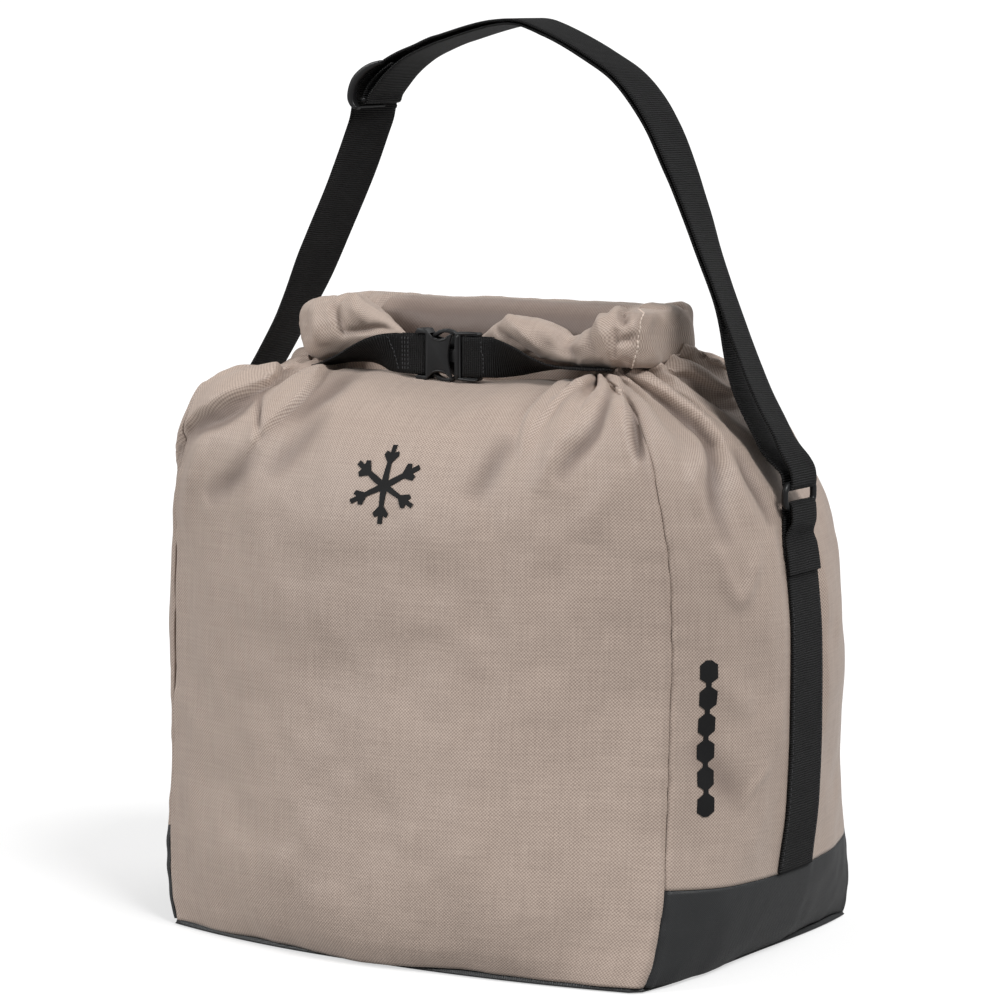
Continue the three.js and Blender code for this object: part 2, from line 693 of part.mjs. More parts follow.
// straight left leg: a point on it and its direction
const LEG_START = { x: -150.7, z: 398.5 };
const LEG_DIRECTION = { x: 0.437, z: 0.8994 };
const LEG_STATIONS = [-34, -10, 20, 50, 80, 110, 140, 156];

const RUN_PLY = 1.35;          // middle of a ply from the middle of the doubled run
const SEWN_PLY = 2.3;          // short inner ply from the middle of the left leg

// point at a distance along the leg, moved inwards (right and down) by offset
const legAt = (along, offset = 0, y = 0) => vec(
  LEG_START.x + LEG_DIRECTION.x * along + LEG_DIRECTION.z * offset,
  y,
  LEG_START.z + LEG_DIRECTION.z * along - LEG_DIRECTION.x * offset,
);

const smoothCurve = (line, steps) =>
  new THREE.CatmullRomCurve3(line.map(vecXZ), false, 'centripetal').getSpacedPoints(steps);

// moves a line outwards (inwards if negative) by offsetAt(fromStart, toEnd)
function offsetLine(line, offsetAt) {
  const lengths = [0];
  for (let i = 1; i < line.length; i++) {
    lengths.push(lengths[i - 1] + line[i].distanceTo(line[i - 1]));
  }
  return line.map((p, i) => {
    const tangent = tangentAt(line, i);
    const normal = vec(-tangent.z, 0, tangent.x);
    const fromStart = lengths[i];
    const toEnd = lengths.at(-1) - fromStart;
    const point = p.clone().addScaledVector(normal, offsetAt(fromStart, toEnd));
    return { point, fromStart, toEnd };
  });
}

function shoulderWebbing() {
  const { smoothstep } = THREE.MathUtils;
  const widthAt = fromRing => LOOP_W + (WEB_W - LOOP_W) * smoothstep(fromRing, 4, 40);
  const roundRing = x => arc([x, RING_HIGH_Z], LOOP_R, 0, -Math.PI, 8)
    .map(p => ({ point: vecXZ(p), width: LOOP_W }));

  const left = smoothCurve(LEFT_LINE, 16);
  const fromLeftRing = ({ point, fromStart }) => ({ point, width: widthAt(fromStart) });
  const sewnPly = offsetLine(left, fromStart =>
    -(SEWN_PLY + (LOOP_R - SEWN_PLY) * (1 - smoothstep(fromStart, 0, 9))))
    .filter(p => p.fromStart > 4 && p.fromStart < 30)
    .reverse();
  const leftPly = offsetLine(left, fromStart => LOOP_R * (1 - smoothstep(fromStart, 2, 34)))
    .filter(p => p.fromStart > 4 && p.toEnd > 4);
  const straightLeg = LEG_STATIONS.map(along => ({ point: legAt(along), width: WEB_W }));

  const run = smoothCurve(RUN_LINE, 62);
  const toRightRing = ({ point, toEnd }) => ({ point, width: widthAt(toEnd) });
  const spread = toEnd => RUN_PLY + (LOOP_R - RUN_PLY) * (1 - smoothstep(toEnd, 6, 26));
  const outerPly = offsetLine(run, (_, toEnd) => spread(toEnd))
    .filter(p => p.fromStart > 5 && p.toEnd > 4);
  const innerPly = offsetLine(run, (_, toEnd) => -spread(toEnd))
    .filter(p => p.fromStart > 12 && p.toEnd > 4)
    .reverse();

  return ribbon([
    ...sewnPly.map(fromLeftRing),
    ...roundRing(-RING_X),
    ...leftPly.map(fromLeftRing),
    ...straightLeg,
    ...outerPly.map(toRightRing),
    ...roundRing(RING_X),
    ...innerPly.map(toRightRing),
  ], WEB_T);
}
addMesh('shoulder_webbing', shoulderWebbing(), webbing());

// ---------------------------------------------------------------- strap slider
const SLIDER = {
  along: 143,                  // its middle, along the leg
  halfY: 22.9,
  halfLength: 15,
  wireR: 1.9,
  frameOffset: -3.1,           // outer frame and inner bar, inwards from the leg
  barOffset: 4.8,
};

// frame with two outer bars, and an inner centre bar on posts
function strapSlider() {
  const { along, halfY, halfLength, wireR, frameOffset, barOffset } = SLIDER;
  const path = roundedRectangle(halfY, halfLength, FRAME_CORNER_R)
    .map(([y, u]) => legAt(along + u, frameOffset, y));
  const inward = vec(LEG_DIRECTION.z, 0, -LEG_DIRECTION.x);
  const bar = new THREE.CylinderGeometry(wireR, wireR, 2 * halfY, 10)
    .translate(...legAt(along, barOffset));
  let solid = toManifold(closedTube(path, wireR, 8, inward)).add(toManifold(bar));
  for (const sign of [-1, 1]) {
    const post = new THREE.BoxGeometry(9.5, 3.4, 6)
      .rotateY(Math.atan2(LEG_DIRECTION.x, LEG_DIRECTION.z))
      .translate(...legAt(along, 0.95, sign * halfY));
    solid = solid.add(toManifold(post));
  }
  return fromManifold(solid);
}

// webbing end doubled round the slider's centre bar
function sliderWebbingEnd() {
  const radius = 2.9;
  // [along the leg, inwards] from the middle of the bar
  const line = [
    [18.5, 0.9], [14, 0.9], [9, radius], [4, radius],
    ...arc([0, 0], radius, Math.PI / 2, 3 * Math.PI / 2, 8),
    [4, -radius], [9, -radius], [14, -1.5], [18.5, -1.5],
  ];
  const stations = line.map(([along, inward]) =>
    ({ point: legAt(SLIDER.along + along, SLIDER.barOffset + inward), width: WEB_W - 1 }));
  return ribbon(stations, 1.3);
}
addMesh('strap_slider', strapSlider(), plastic());
addMesh('slider_webbing_end', sliderWebbingEnd(), webbing());

export default group;
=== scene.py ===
"""Roll-top shoulder bag: taupe woven cloth over a coated base, with black webbing and a buckle.

Lengths are in millimetres unless noted and become metres when a mesh is made. The bag stands
on z = 0, centred on x = y = 0. Its front faces -y and its right side faces +x.
"""
import functools
import math
import bpy
import bmesh
import numpy as np
from mathutils import Vector, Matrix


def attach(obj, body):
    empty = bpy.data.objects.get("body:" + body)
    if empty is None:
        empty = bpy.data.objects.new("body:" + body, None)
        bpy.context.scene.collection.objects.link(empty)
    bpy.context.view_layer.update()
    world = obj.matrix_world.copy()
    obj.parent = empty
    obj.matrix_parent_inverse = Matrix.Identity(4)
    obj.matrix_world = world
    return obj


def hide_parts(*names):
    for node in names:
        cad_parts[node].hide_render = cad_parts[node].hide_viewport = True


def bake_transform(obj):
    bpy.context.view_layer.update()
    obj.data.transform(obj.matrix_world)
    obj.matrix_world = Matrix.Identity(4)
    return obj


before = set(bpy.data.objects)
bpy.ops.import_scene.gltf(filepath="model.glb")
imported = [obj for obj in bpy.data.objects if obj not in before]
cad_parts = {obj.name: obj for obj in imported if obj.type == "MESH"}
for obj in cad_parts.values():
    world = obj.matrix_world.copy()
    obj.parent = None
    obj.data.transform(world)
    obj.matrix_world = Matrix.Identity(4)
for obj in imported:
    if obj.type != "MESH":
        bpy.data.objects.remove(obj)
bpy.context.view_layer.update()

MM = 0.001


# ------------------------------------------------------------------ curves and noise
def ease(low, high, x):
    """Smooth step from 0 at low to 1 at high; low may be the larger of the two."""
    t = np.clip((np.asarray(x, float) - low) / (high - low), 0, 1)
    return t * t * (3 - 2 * t)


def plateau(start, full, leave, end, x):
    """Rise from 0 to 1 between start and full, and fall back between leave and end."""
    return ease(start, full, x) * (1 - ease(leave, end, x))


def bell(offset, width):
    return np.exp(-(offset / width) ** 2)


def unit(vectors):
    return vectors / np.maximum(np.linalg.norm(vectors, axis=-1, keepdims=True), 1e-9)


def signed_power(values, power):
    return np.sign(values) * np.abs(values) ** power


def arc_length(points):
    """Running length along the first axis, starting at 0."""
    steps = np.linalg.norm(np.diff(points, axis=0), axis=-1)
    return np.concatenate([np.zeros_like(steps[:1]), np.cumsum(steps, axis=0)])


def interp_rows(at, keys, rows):
    return np.stack([np.interp(at, keys, column) for column in rows.T], -1)


def pchip(xs, ys):
    """Monotone cubic through the points, held level outside them."""
    xs, ys = np.asarray(xs, float), np.asarray(ys, float)
    gap = np.diff(xs)
    rise = np.diff(ys) / gap
    slope = np.zeros(len(xs))
    for i in range(1, len(xs) - 1):
        if rise[i - 1] * rise[i] > 0:
            before, after = 2 * gap[i] + gap[i - 1], gap[i] + 2 * gap[i - 1]
            slope[i] = (before + after) / (before / rise[i - 1] + after / rise[i])
    slope[0], slope[-1] = rise[0], rise[-1]

    def curve(x):
        x = np.clip(np.asarray(x, float), xs[0], xs[-1])
        i = np.clip(np.searchsorted(xs, x, side="right") - 1, 0, len(xs) - 2)
        t = (x - xs[i]) / gap[i]
        return (ys[i] * (2 * t**3 - 3 * t**2 + 1) + gap[i] * slope[i] * (t**3 - 2 * t**2 + t)
                + ys[i + 1] * (-2 * t**3 + 3 * t**2) + gap[i] * slope[i + 1] * (t**3 - t**2))
    return curve


def column_curves(table):
    """One curve for each column after the first, over the first."""
    return [pchip(table[:, 0], column) for column in table.T[1:]]


def catmull(points, count, closed=False):
    """count evenly spaced points along a centripetal Catmull-Rom curve."""
    knots = np.asarray(points, float)
    if closed:
        knots = np.concatenate([knots[-1:], knots, knots[:2]])
    else:
        knots = np.concatenate([[2 * knots[0] - knots[1]], knots, [2 * knots[-1] - knots[-2]]])
    pieces = []
    for i in range(1, len(knots) - 2):
        four = knots[i - 1:i + 3]
        steps = np.linalg.norm(np.diff(four, axis=0), axis=1) ** 0.5 + 1e-9
        times = np.r_[0, np.cumsum(steps)]
        t = np.linspace(times[1], times[2], 24, endpoint=False)[:, None]

        def between(first, second, a, b):
            span = times[b] - times[a]
            return (times[b] - t) / span * first + (t - times[a]) / span * second
        lines = [between(four[k], four[k + 1], k, k + 1) for k in range(3)]
        early = between(lines[0], lines[1], 0, 2)
        late = between(lines[1], lines[2], 1, 3)
        pieces.append(between(early, late, 1, 2))
    pieces.append(knots[1:2] if closed else knots[-2:-1])
    dense = np.concatenate(pieces)
    along = arc_length(dense)
    return interp_rows(np.linspace(0, along[-1], count + closed)[:count], along, dense)


def resample(grid, columns, rows):
    """Catmull-Rom samples of a grid that is closed round its columns."""
    def weights(f):
        return np.stack([-0.5 * f + f**2 - 0.5 * f**3, 1 - 2.5 * f**2 + 1.5 * f**3,
                         0.5 * f + 2 * f**2 - 1.5 * f**3, -0.5 * f**2 + 0.5 * f**3], -1)
    column_count, row_count = grid.shape[:2]
    i = np.floor(columns).astype(int)
    weight = weights(columns - i)
    part = sum(weight[:, k, None, None] * grid[(i + k - 1) % column_count] for k in range(4))
    j = np.clip(np.floor(rows).astype(int), 0, row_count - 2)
    weight = weights(rows - j)
    return sum(weight[None, :, k, None] * part[:, np.clip(j + k - 1, 0, row_count - 1)]
               for k in range(4))


@functools.lru_cache(maxsize=None)
def lattice(seed):
    return np.random.default_rng(1000 + seed).uniform(-1, 1, (256, 256))


def value_noise(x, y, seed):
    """Smooth noise in -1..1."""
    values = lattice(seed)
    xi, yi = np.floor(x).astype(int), np.floor(y).astype(int)
    fx, fy = x - xi, y - yi
    fx, fy = (f**3 * (f * (6 * f - 15) + 10) for f in (fx, fy))

    def corner(i, j):
        return values[(xi + i) % 256, (yi + j) % 256]
    return (corner(0, 0) * (1 - fx) * (1 - fy) + corner(1, 0) * fx * (1 - fy)
            + corner(0, 1) * (1 - fx) * fy + corner(1, 1) * fx * fy)


def layered_noise(x, y, seed, octaves):
    """Octaves of value noise, each half as strong and about twice as fine as the last."""
    return sum(0.5**o * value_noise(x * 2.03**o + 13.7 * o, y * 2.03**o + 7.3 * o, seed + o)
               for o in range(octaves))


# ------------------------------------------------------------------ meshes
def add_uv(mesh, corner_uv):
    mesh.uv_layers.new(name="UVMap").data.foreach_set("uv", corner_uv.ravel())


def corner_vertices(mesh):
    index = np.zeros(len(mesh.loops), int)
    mesh.loops.foreach_get("vertex_index", index)
    return index


def new_mesh(name, vertices, faces, uv=None, smooth_shade=True):
    """Object from vertices in mm, with one UV per vertex if given."""
    mesh = bpy.data.meshes.new(name)
    mesh.from_pydata((np.asarray(vertices, float) * MM).tolist(), [], faces)
    mesh.update()
    if uv is not None:
        add_uv(mesh, np.asarray(uv, float)[corner_vertices(mesh)])
    if smooth_shade:
        mesh.polygons.foreach_set("use_smooth", [True] * len(mesh.polygons))
    ob = bpy.data.objects.new(name, mesh)
    bpy.context.scene.collection.objects.link(ob)
    return ob


def fix_normals(ob):
    bm = bmesh.new()
    bm.from_mesh(ob.data)
    bmesh.ops.recalc_face_normals(bm, faces=bm.faces)
    bm.to_mesh(ob.data)
    bm.free()
    return ob


def grid_faces(nu, nv, close_u=False, close_v=False, flip=False, base=0):
    """Quads of a grid whose vertex (i, j) has the index base + i * nv + j."""
    i, j = np.meshgrid(np.arange(nu if close_u else nu - 1),
                       np.arange(nv if close_v else nv - 1), indexing="ij")
    i2, j2 = (i + 1) % nu, (j + 1) % nv
    faces = np.stack([i * nv + j, i2 * nv + j, i2 * nv + j2, i * nv + j2], -1)
    faces = faces.reshape(-1, 4) + base
    return (faces[:, ::-1] if flip else faces).tolist()


def normals(grid, close_u=False):
    if close_u:
        du = np.roll(grid, -1, 0) - np.roll(grid, 1, 0)
    else:
        du = np.gradient(grid, axis=0)
    return unit(np.cross(du, np.gradient(grid, axis=1)))


def closed_sheet(name, outer, inner, uv):
    """Two grids of points joined round their edge into one closed body."""
    nu, nv = outer.shape[:2]
    count = nu * nv
    faces = grid_faces(nu, nv) + grid_faces(nu, nv, flip=True, base=count)
    index = np.arange(count).reshape(nu, nv)
    rim = np.concatenate([index[:, 0], index[-1, 1:], index[-2::-1, -1], index[0, -2:0:-1]])
    rim = rim.tolist()
    faces += [[a, a + count, b + count, b] for a, b in zip(rim, rim[1:] + rim[:1])]
    vertices = np.concatenate([outer.reshape(-1, 3), inner.reshape(-1, 3)])
    return new_mesh(name, vertices, faces, np.concatenate([uv.reshape(-1, 2)] * 2))


def loft(name, rings, uv=None, closed=False):
    """Body through rings of points; open runs get a flat cap at each end."""
    count, around = rings.shape[:2]
    faces = grid_faces(count, around, close_u=closed, close_v=True)
    if not closed:
        faces.append(list(range(around)))
        faces.append([(count - 1) * around + j for j in range(around)][::-1])
    if uv is not None:
        uv = uv.reshape(-1, 2)
    return fix_normals(new_mesh(name, rings.reshape(-1, 3), faces, uv))


def set_painted_shade(ob, painted_shade):
    """Painted shade: how much the cloth is painted darker in folds and hollows, for the mesh's
    first vertices.
    """
    attribute = ob.data.attributes.new("painted_shade", "FLOAT", "POINT")
    values = np.zeros(len(ob.data.vertices), np.float32)
    values[:painted_shade.size] = painted_shade.ravel()
    attribute.data.foreach_set("value", values)


def set_material(ob, material):
    ob.data.materials.clear()
    ob.data.materials.append(material)


def finish(ob, material, slot, *replaced):
    set_material(ob, material)
    if replaced:
        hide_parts(*replaced)


# ------------------------------------------------------------------ materials
def srgb(*channels):
    """Linear colour from 0..255 channels."""
    values = [c / 255 for c in channels]
    return tuple(v / 12.92 if v <= 0.04045 else ((v + 0.055) / 1.055) ** 2.4 for v in values)


def scaled(colour, factor):
    return tuple(min(1, c * factor) for c in colour)


class Shader:
    """A Principled material with short calls for adding nodes."""

    def __init__(self, name, base, roughness, specular):
        self.material = bpy.data.materials.new(name)
        self.material.use_nodes = True
        self.tree = self.material.node_tree
        self.surface = self.tree.nodes["Principled BSDF"]
        self.fill(self.surface, {"Base Color": (*base, 1), "Roughness": roughness,
                                 "Specular IOR Level": specular})

    def fill(self, node, inputs):
        """Link outputs into a node's inputs, or set plain values."""
        for key, value in inputs.items():
            if isinstance(value, bpy.types.NodeSocket):
                self.tree.links.new(value, node.inputs[key])
            else:
                node.inputs[key].default_value = value

    def drive(self, **inputs):
        """Fill the surface's inputs; an underscore stands for a space."""
        self.fill(self.surface, {key.replace("_", " "): v for key, v in inputs.items()})

    def node(self, kind, inputs=None, **properties):
        node = self.tree.nodes.new(kind)
        for key, value in properties.items():
            setattr(node, key, value)
        self.fill(node, inputs or {})
        return node

    def calc(self, operation, *values, clamp=False):
        inputs = dict(enumerate(values))
        node = self.node("ShaderNodeMath", inputs, operation=operation, use_clamp=clamp)
        return node.outputs[0]

    def centred(self, value, middle, gain):
        return self.calc("MULTIPLY", self.calc("SUBTRACT", value, middle), gain)

    def wave(self, value, pitch):
        return self.calc("SINE", self.calc("MULTIPLY", value, 2 * math.pi / pitch))

    def mix(self, factor, first, second):
        first, second = ((*c, 1) if isinstance(c, tuple) else c for c in (first, second))
        inputs = {0: factor, 6: first, 7: second}
        return self.node("ShaderNodeMix", inputs, data_type="RGBA").outputs[2]

    def noise(self, vector, scale, detail=3, roughness=0.5):
        inputs = {"Vector": vector, "Scale": scale, "Detail": detail, "Roughness": roughness}
        return self.node("ShaderNodeTexNoise", inputs).outputs["Fac"]

    def bump(self, height, strength, distance, **inputs):
        """distance is in metres."""
        inputs.update(Height=height, Strength=strength, Distance=distance)
        return self.node("ShaderNodeBump", inputs).outputs[0]

    def cloth_coords(self):
        """UV vector with its two parts, in mm along the cloth."""
        uv = self.node("ShaderNodeUVMap").outputs[0]
        parts = self.node("ShaderNodeSeparateXYZ", {0: uv}).outputs
        return uv, parts[0], parts[1]

    def object_coords(self):
        return self.node("ShaderNodeTexCoord").outputs["Object"]


def woven(name, light, dark, fold, pitch):
    """Plain basket weave mixed with a diagonal, with painted shade from a per-vertex attribute
    mixing it towards the fold colour.
    """
    s = Shader(name, light, roughness=0.55, specular=0.4)
    s.drive(Sheen_Weight=0.25, Sheen_Roughness=0.45, Sheen_Tint=(0.95, 0.9, 0.86, 1))
    uv, u, v = s.cloth_coords()
    place = s.object_coords()
    # yarns wander a little
    wander = s.centred(s.noise(place, scale=38, detail=2), middle=0.5, gain=1.6)
    u, v = s.calc("ADD", u, wander), s.calc("ADD", v, wander)
    across, along = s.wave(u, pitch), s.wave(v, pitch)
    diagonal = s.wave(s.calc("SUBTRACT", u, v), pitch)
    basket = s.calc("MULTIPLY", across, s.calc("MULTIPLY", along, 0.72))
    weave = s.calc("ADD", basket, s.calc("MULTIPLY", diagonal, 0.28))
    weave01 = s.calc("MULTIPLY_ADD", weave, 0.5, 0.5)

    # differences from yarn to yarn, stretched along each direction
    def slub(scale):
        mapped = s.node("ShaderNodeMapping", {0: uv, "Scale": scale}).outputs[0]
        return s.noise(mapped, scale=1.0, detail=2)
    yarn = s.calc("ADD", slub((0.7, 0.03, 1)), slub((0.03, 0.7, 1)))
    broad = s.noise(place, scale=5.5, detail=4, roughness=0.55)
    factor = s.calc("ADD", s.calc("MULTIPLY", weave01, 0.8),
                    s.centred(yarn, middle=1.0, gain=0.22))
    factor = s.calc("ADD", factor, s.centred(broad, middle=0.5, gain=0.36), clamp=True)
    colour = s.mix(factor, dark, light)
    # painted shade: folds and hollows are mixed towards the darker fold colour
    painted_shade = s.node("ShaderNodeAttribute", attribute_name="painted_shade").outputs["Fac"]
    colour = s.mix(s.calc("MULTIPLY", painted_shade, 0.66, clamp=True), colour, fold)
    roughness = s.calc("MULTIPLY_ADD", s.noise(place, scale=14), 0.16, 0.47)
    height = s.calc("ADD", weave, s.calc("MULTIPLY", yarn, 0.5))
    fine = s.bump(height, strength=0.25, distance=0.00035)
    crumple = s.noise(place, scale=55, detail=4, roughness=0.6)
    s.drive(Base_Color=colour, Roughness=roughness,
            Normal=s.bump(crumple, strength=0.35, distance=0.002, Normal=fine))
    return s.material


def ribbed(name, light, dark, pitch):
    """Webbing: ribs across its length, their crests painted lighter as a painted highlight that is
    stronger in patches.
    """
    s = Shader(name, dark, roughness=0.55, specular=0.16)
    _, u, v = s.cloth_coords()
    place = s.object_coords()
    wander = s.centred(s.noise(place, scale=60, detail=2), middle=0.5, gain=1.1)
    rib = s.wave(s.calc("ADD", u, wander), pitch)
    cross = s.wave(v, pitch=1.1)
    crest_highlight = s.calc("POWER", s.calc("MULTIPLY_ADD", rib, 0.5, 0.5), 1.6)
    patch = s.calc("MULTIPLY_ADD", s.noise(place, scale=45, roughness=0.6), 1.1, 0.15)
    height = s.calc("ADD", rib, s.calc("MULTIPLY", cross, 0.25))
    s.drive(Base_Color=s.mix(s.calc("MULTIPLY", crest_highlight, patch, clamp=True), dark, light),
            Normal=s.bump(height, strength=0.8, distance=0.0005))
    return s.material


def moulded(name, base, roughness, grain=0.15):
    """Moulded surface with a fine grain of the given strength."""
    s = Shader(name, base, roughness, specular=0.32)
    place = s.object_coords()
    fine = s.noise(place, scale=900, roughness=0.6)
    broad = s.noise(place, scale=60)
    s.drive(Base_Color=s.mix(broad, scaled(base, 0.75), scaled(base, 1.35)),
            Roughness=s.calc("MULTIPLY_ADD", broad, 0.18, roughness - 0.09),
            Normal=s.bump(fine, strength=grain, distance=0.0002))
    return s.material


def coated(name, base):
    """Coated cloth: fine pebble over a faint square weave."""
    s = Shader(name, base, roughness=0.42, specular=0.3)
    place = s.object_coords()
    _, u, v = s.cloth_coords()
    weave = s.calc("MULTIPLY", s.wave(u, pitch=1.6), s.wave(v, pitch=1.6))
    broad = s.noise(place, scale=11, detail=4, roughness=0.6)
    pebble = s.noise(place, scale=420, detail=2, roughness=0.6)
    height = s.calc("ADD", s.calc("MULTIPLY", weave, 0.5), pebble)
    s.drive(Base_Color=s.mix(broad, scaled(base, 0.7), scaled(base, 1.5)),
            Roughness=s.calc("MULTIPLY_ADD", broad, 0.22, 0.33),
            Normal=s.bump(height, strength=0.35, distance=0.0004))
    return s.material


# fold is the colour of the painted shade in the cloth's folds and hollows
CLOTH = woven("taupe_weave", light=srgb(208, 190, 176), dark=srgb(128, 111, 102),
              fold=srgb(92, 78, 72), pitch=2.05)
COATED = coated("coated_base", srgb(42, 43, 44))
# light is the colour of the painted highlight on the webbing's rib crests
WEBBING = ribbed("black_webbing", light=srgb(43, 43, 44), dark=srgb(6, 6, 6), pitch=1.45)
PLASTIC = moulded("black_acetal", srgb(22, 22, 23), roughness=0.4)
BOARD = moulded("board_grey", srgb(60, 60, 66), roughness=0.6)
PRINT = moulded("flock_print", srgb(10, 10, 11), roughness=0.75, grain=0.5)
DARK_THREAD = moulded("thread_dark", srgb(70, 70, 72), roughness=0.5)
TAUPE_THREAD = moulded("thread_taupe", srgb(205, 190, 178), roughness=0.5)

# ------------------------------------------------------------------ wall shape
FRONT, RIGHT, BACK, LEFT = range(4)
# z, half width and half depth at the seams, bow of the front and back walls, bow of the sides
WALL_SECTIONS = np.array([
    (0, 168.5, 124, 23, 12), (15, 174.5, 120.5, 35, 19.5), (61, 181.5, 113.2, 46.2, 27.6),
    (100, 182, 107.8, 48.8, 29.4), (145, 182, 105.9, 48.2, 29.6), (200, 182.3, 103.4, 46.8, 29.2),
    (245, 181.2, 103.7, 42.9, 28.6), (280, 178, 106.3, 36.7, 26.6), (300, 174.8, 107.5, 30.5, 23.5),
], float)
# z, and how far the right side stands out at its front edge, middle and back edge
RIGHT_OFFSETS = np.array([
    (0, 6.5, 2.5, 14), (22, 4.5, 1.5, 11.2), (61, 2, 1.0, 5.6), (100, 0, 4, 3.4),
    (147, 0, 5.4, 2.2), (200, 0, 5.2, -0.6), (237, 0, 3.4, -3.6), (267, 0, 1.4, -3.8),
    (285, 0, 0, -4.4), (300, 0, -0.5, -5),
], float)
BOW_POWER, SIDE_BOW_POWER = 2.3, 3.0     # a higher power makes the middle flatter
half_width, half_depth, face_bow, side_bow = column_curves(WALL_SECTIONS)
right_front, right_middle, right_back = column_curves(RIGHT_OFFSETS)


def wall_row(wall, s, z):
    """Points of a wall at height z; s is -1..1, counter-clockwise seen from above."""
    half_x, half_y = half_width(z), half_depth(z)
    if wall in (FRONT, BACK):
        bow = 1 - np.abs(s) ** BOW_POWER
        points = np.stack([s * half_x, -(half_y + face_bow(z) * bow), z + 0 * s], -1)
    else:
        bow = 1 - np.abs(s) ** SIDE_BOW_POWER
        dip = -4.5 * (1 - s * s) * bell(z - 61, 34.0)      # the base seam sags at the middle
        points = np.stack([half_x + side_bow(z) * bow, s * half_y, z + dip], -1)
    if wall in (BACK, LEFT):
        points[:, :2] *= -1
    front, middle, back = right_front(z), right_middle(z), right_back(z)
    if wall == RIGHT:
        points[:, 0] += middle + (back - front) / 2 * s + ((front + back) / 2 - middle) * s * s
    elif wall == FRONT:
        points[:, 0] += front * np.maximum(s, 0) ** 1.6
        points[:, 1] -= 4.0 * np.exp(-z / 16.0) * np.maximum(s, 0) ** 3
    elif wall == BACK:
        points[:, 0] += back * np.maximum(-s, 0) ** 1.6
    return points


# ------------------------------------------------------------------ cloth grid
# Columns run counter-clockwise from the front left seam; rows run up the cloth.
WALL_CELLS = [60, 40, 60, 40]
COLUMNS = sum(WALL_CELLS)
WALL_START = np.cumsum([0] + WALL_CELLS)
SHOULDER_Z = 300.0
WALL_Z = np.concatenate([[3.0], np.arange(8, SHOULDER_Z - 0.1, 7.3), [SHOULDER_Z]])
WALL_ROWS = len(WALL_Z)
SHOULDER_LENGTH = 150.0                  # cloth from the shoulder line to the collar
SHOULDER_ROWS = 28
ROWS = WALL_ROWS + SHOULDER_ROWS
# length up the cloth at each row
CLOTH_UP = np.concatenate(
    [WALL_Z, SHOULDER_Z + SHOULDER_LENGTH * np.arange(1, SHOULDER_ROWS + 1) / SHOULDER_ROWS])


def body_ring(z):
    return np.concatenate([wall_row(wall, np.linspace(-1, 1, cells + 1)[:-1], float(z))
                           for wall, cells in enumerate(WALL_CELLS)])


SHOULDER_RING = body_ring(SHOULDER_Z)
AROUND = arc_length(np.concatenate([SHOULDER_RING, SHOULDER_RING[:1]]))
HALF_ROUND = AROUND[-1] / 2
# signed distance of each column from the middle of the front, positive to the right
FROM_FRONT = ((AROUND[:-1] - AROUND[WALL_CELLS[FRONT] // 2] + HALF_ROUND) % (2 * HALF_ROUND)
              - HALF_ROUND)

# where the cloth meets the roll: distance from the front middle, x outwards, y, z
COLLAR_RIGHT = np.array([
    (0, 0, -6, 350), (64, 66, -7, 350), (82, 82, -16, 350), (98, 89, -33, 352.5),
    (124, 93, -41, 355.5), (195, 97, -41, 357), (245, 108, -35, 359), (300, 122, -19, 362),
    (350, 128, 0, 363), (410, 124, 13, 360), (470, 108, 14, 354), (505, 88, 10, 351),
    (HALF_ROUND, 0, 8, 350)], float)
COLLAR_LEFT = np.array([
    (0, 0, -6, 350), (64, 66, -7, 350), (82, 84, -16, 350), (98, 93, -33, 351),
    (124, 100, -42, 352), (180, 108, -43, 353), (240, 122, -36, 356), (300, 133, -20, 360),
    (350, 137, 0, 362), (410, 131, 13, 360), (470, 110, 14, 354), (505, 90, 10, 351),
    (HALF_ROUND, 0, 8, 350)], float)


def collar_line():
    on_right = (FROM_FRONT >= 0)[:, None]
    right, left = (interp_rows(np.abs(FROM_FRONT), table[:, 0], table[:, 1:])
                   for table in (COLLAR_RIGHT, COLLAR_LEFT))
    line = np.where(on_right, right, left)
    line[:, 0] *= np.where(on_right[:, 0], 1, -1)
    return line


COLLAR = collar_line()


def unsettled_grid():
    """Walls as drawn, with each column above them on a Bezier curve to the collar."""
    grid = np.zeros((COLUMNS, ROWS, 3))
    for row, z in enumerate(WALL_Z):
        grid[:, row] = body_ring(z)
    start = grid[:, WALL_ROWS - 1]
    up = unit(start - grid[:, WALL_ROWS - 3])
    inward = COLLAR - start
    inward[:, 2] = 0
    reach = np.linalg.norm(inward, axis=1, keepdims=True)
    inward /= reach
    # the right side falls away straighter than the left
    flat = (plateau(180, 230, 468, 525, np.abs(FROM_FRONT))
            * np.where(FROM_FRONT > 0, 1.0, 0.35))[:, None]
    lower = start + up * ((1 - flat) * (30 + 0.12 * reach) + flat * 9)
    raised = np.where(reach > 90, 1.0, -2.0) * (1 - flat) - 13.0 * flat
    upper = (COLLAR - inward * np.minimum(reach * 0.45, 55) * (1 - 0.35 * flat)
             + np.array([0, 0, 1.0]) * raised)
    t = np.linspace(0, 1, 121)[:, None, None]
    curve = ((1 - t) ** 3 * start + 3 * (1 - t) ** 2 * t * lower
             + 3 * (1 - t) * t * t * upper + t**3 * COLLAR)
    run = arc_length(curve)
    for i in range(COLUMNS):
        at = run[-1, i] * np.arange(1, SHOULDER_ROWS + 1) / SHOULDER_ROWS
        grid[i, WALL_ROWS:] = interp_rows(at, run[:, i], curve[:, i])
    return grid


def column_lengths(grid):
    """Cloth above the shoulder line: mostly a little more than the way it has to go."""
    length = np.linalg.norm(np.diff(grid[:, WALL_ROWS - 1:], axis=1), axis=2).sum(1)
    for _ in range(40):
        length = (np.roll(length, 1) + 2 * length + np.roll(length, -1)) / 4
    taut = plateau(200, 260, 430, 480, np.abs(FROM_FRONT)) * (FROM_FRONT > 0)
    return length * (1.04 - 0.022 * taut)


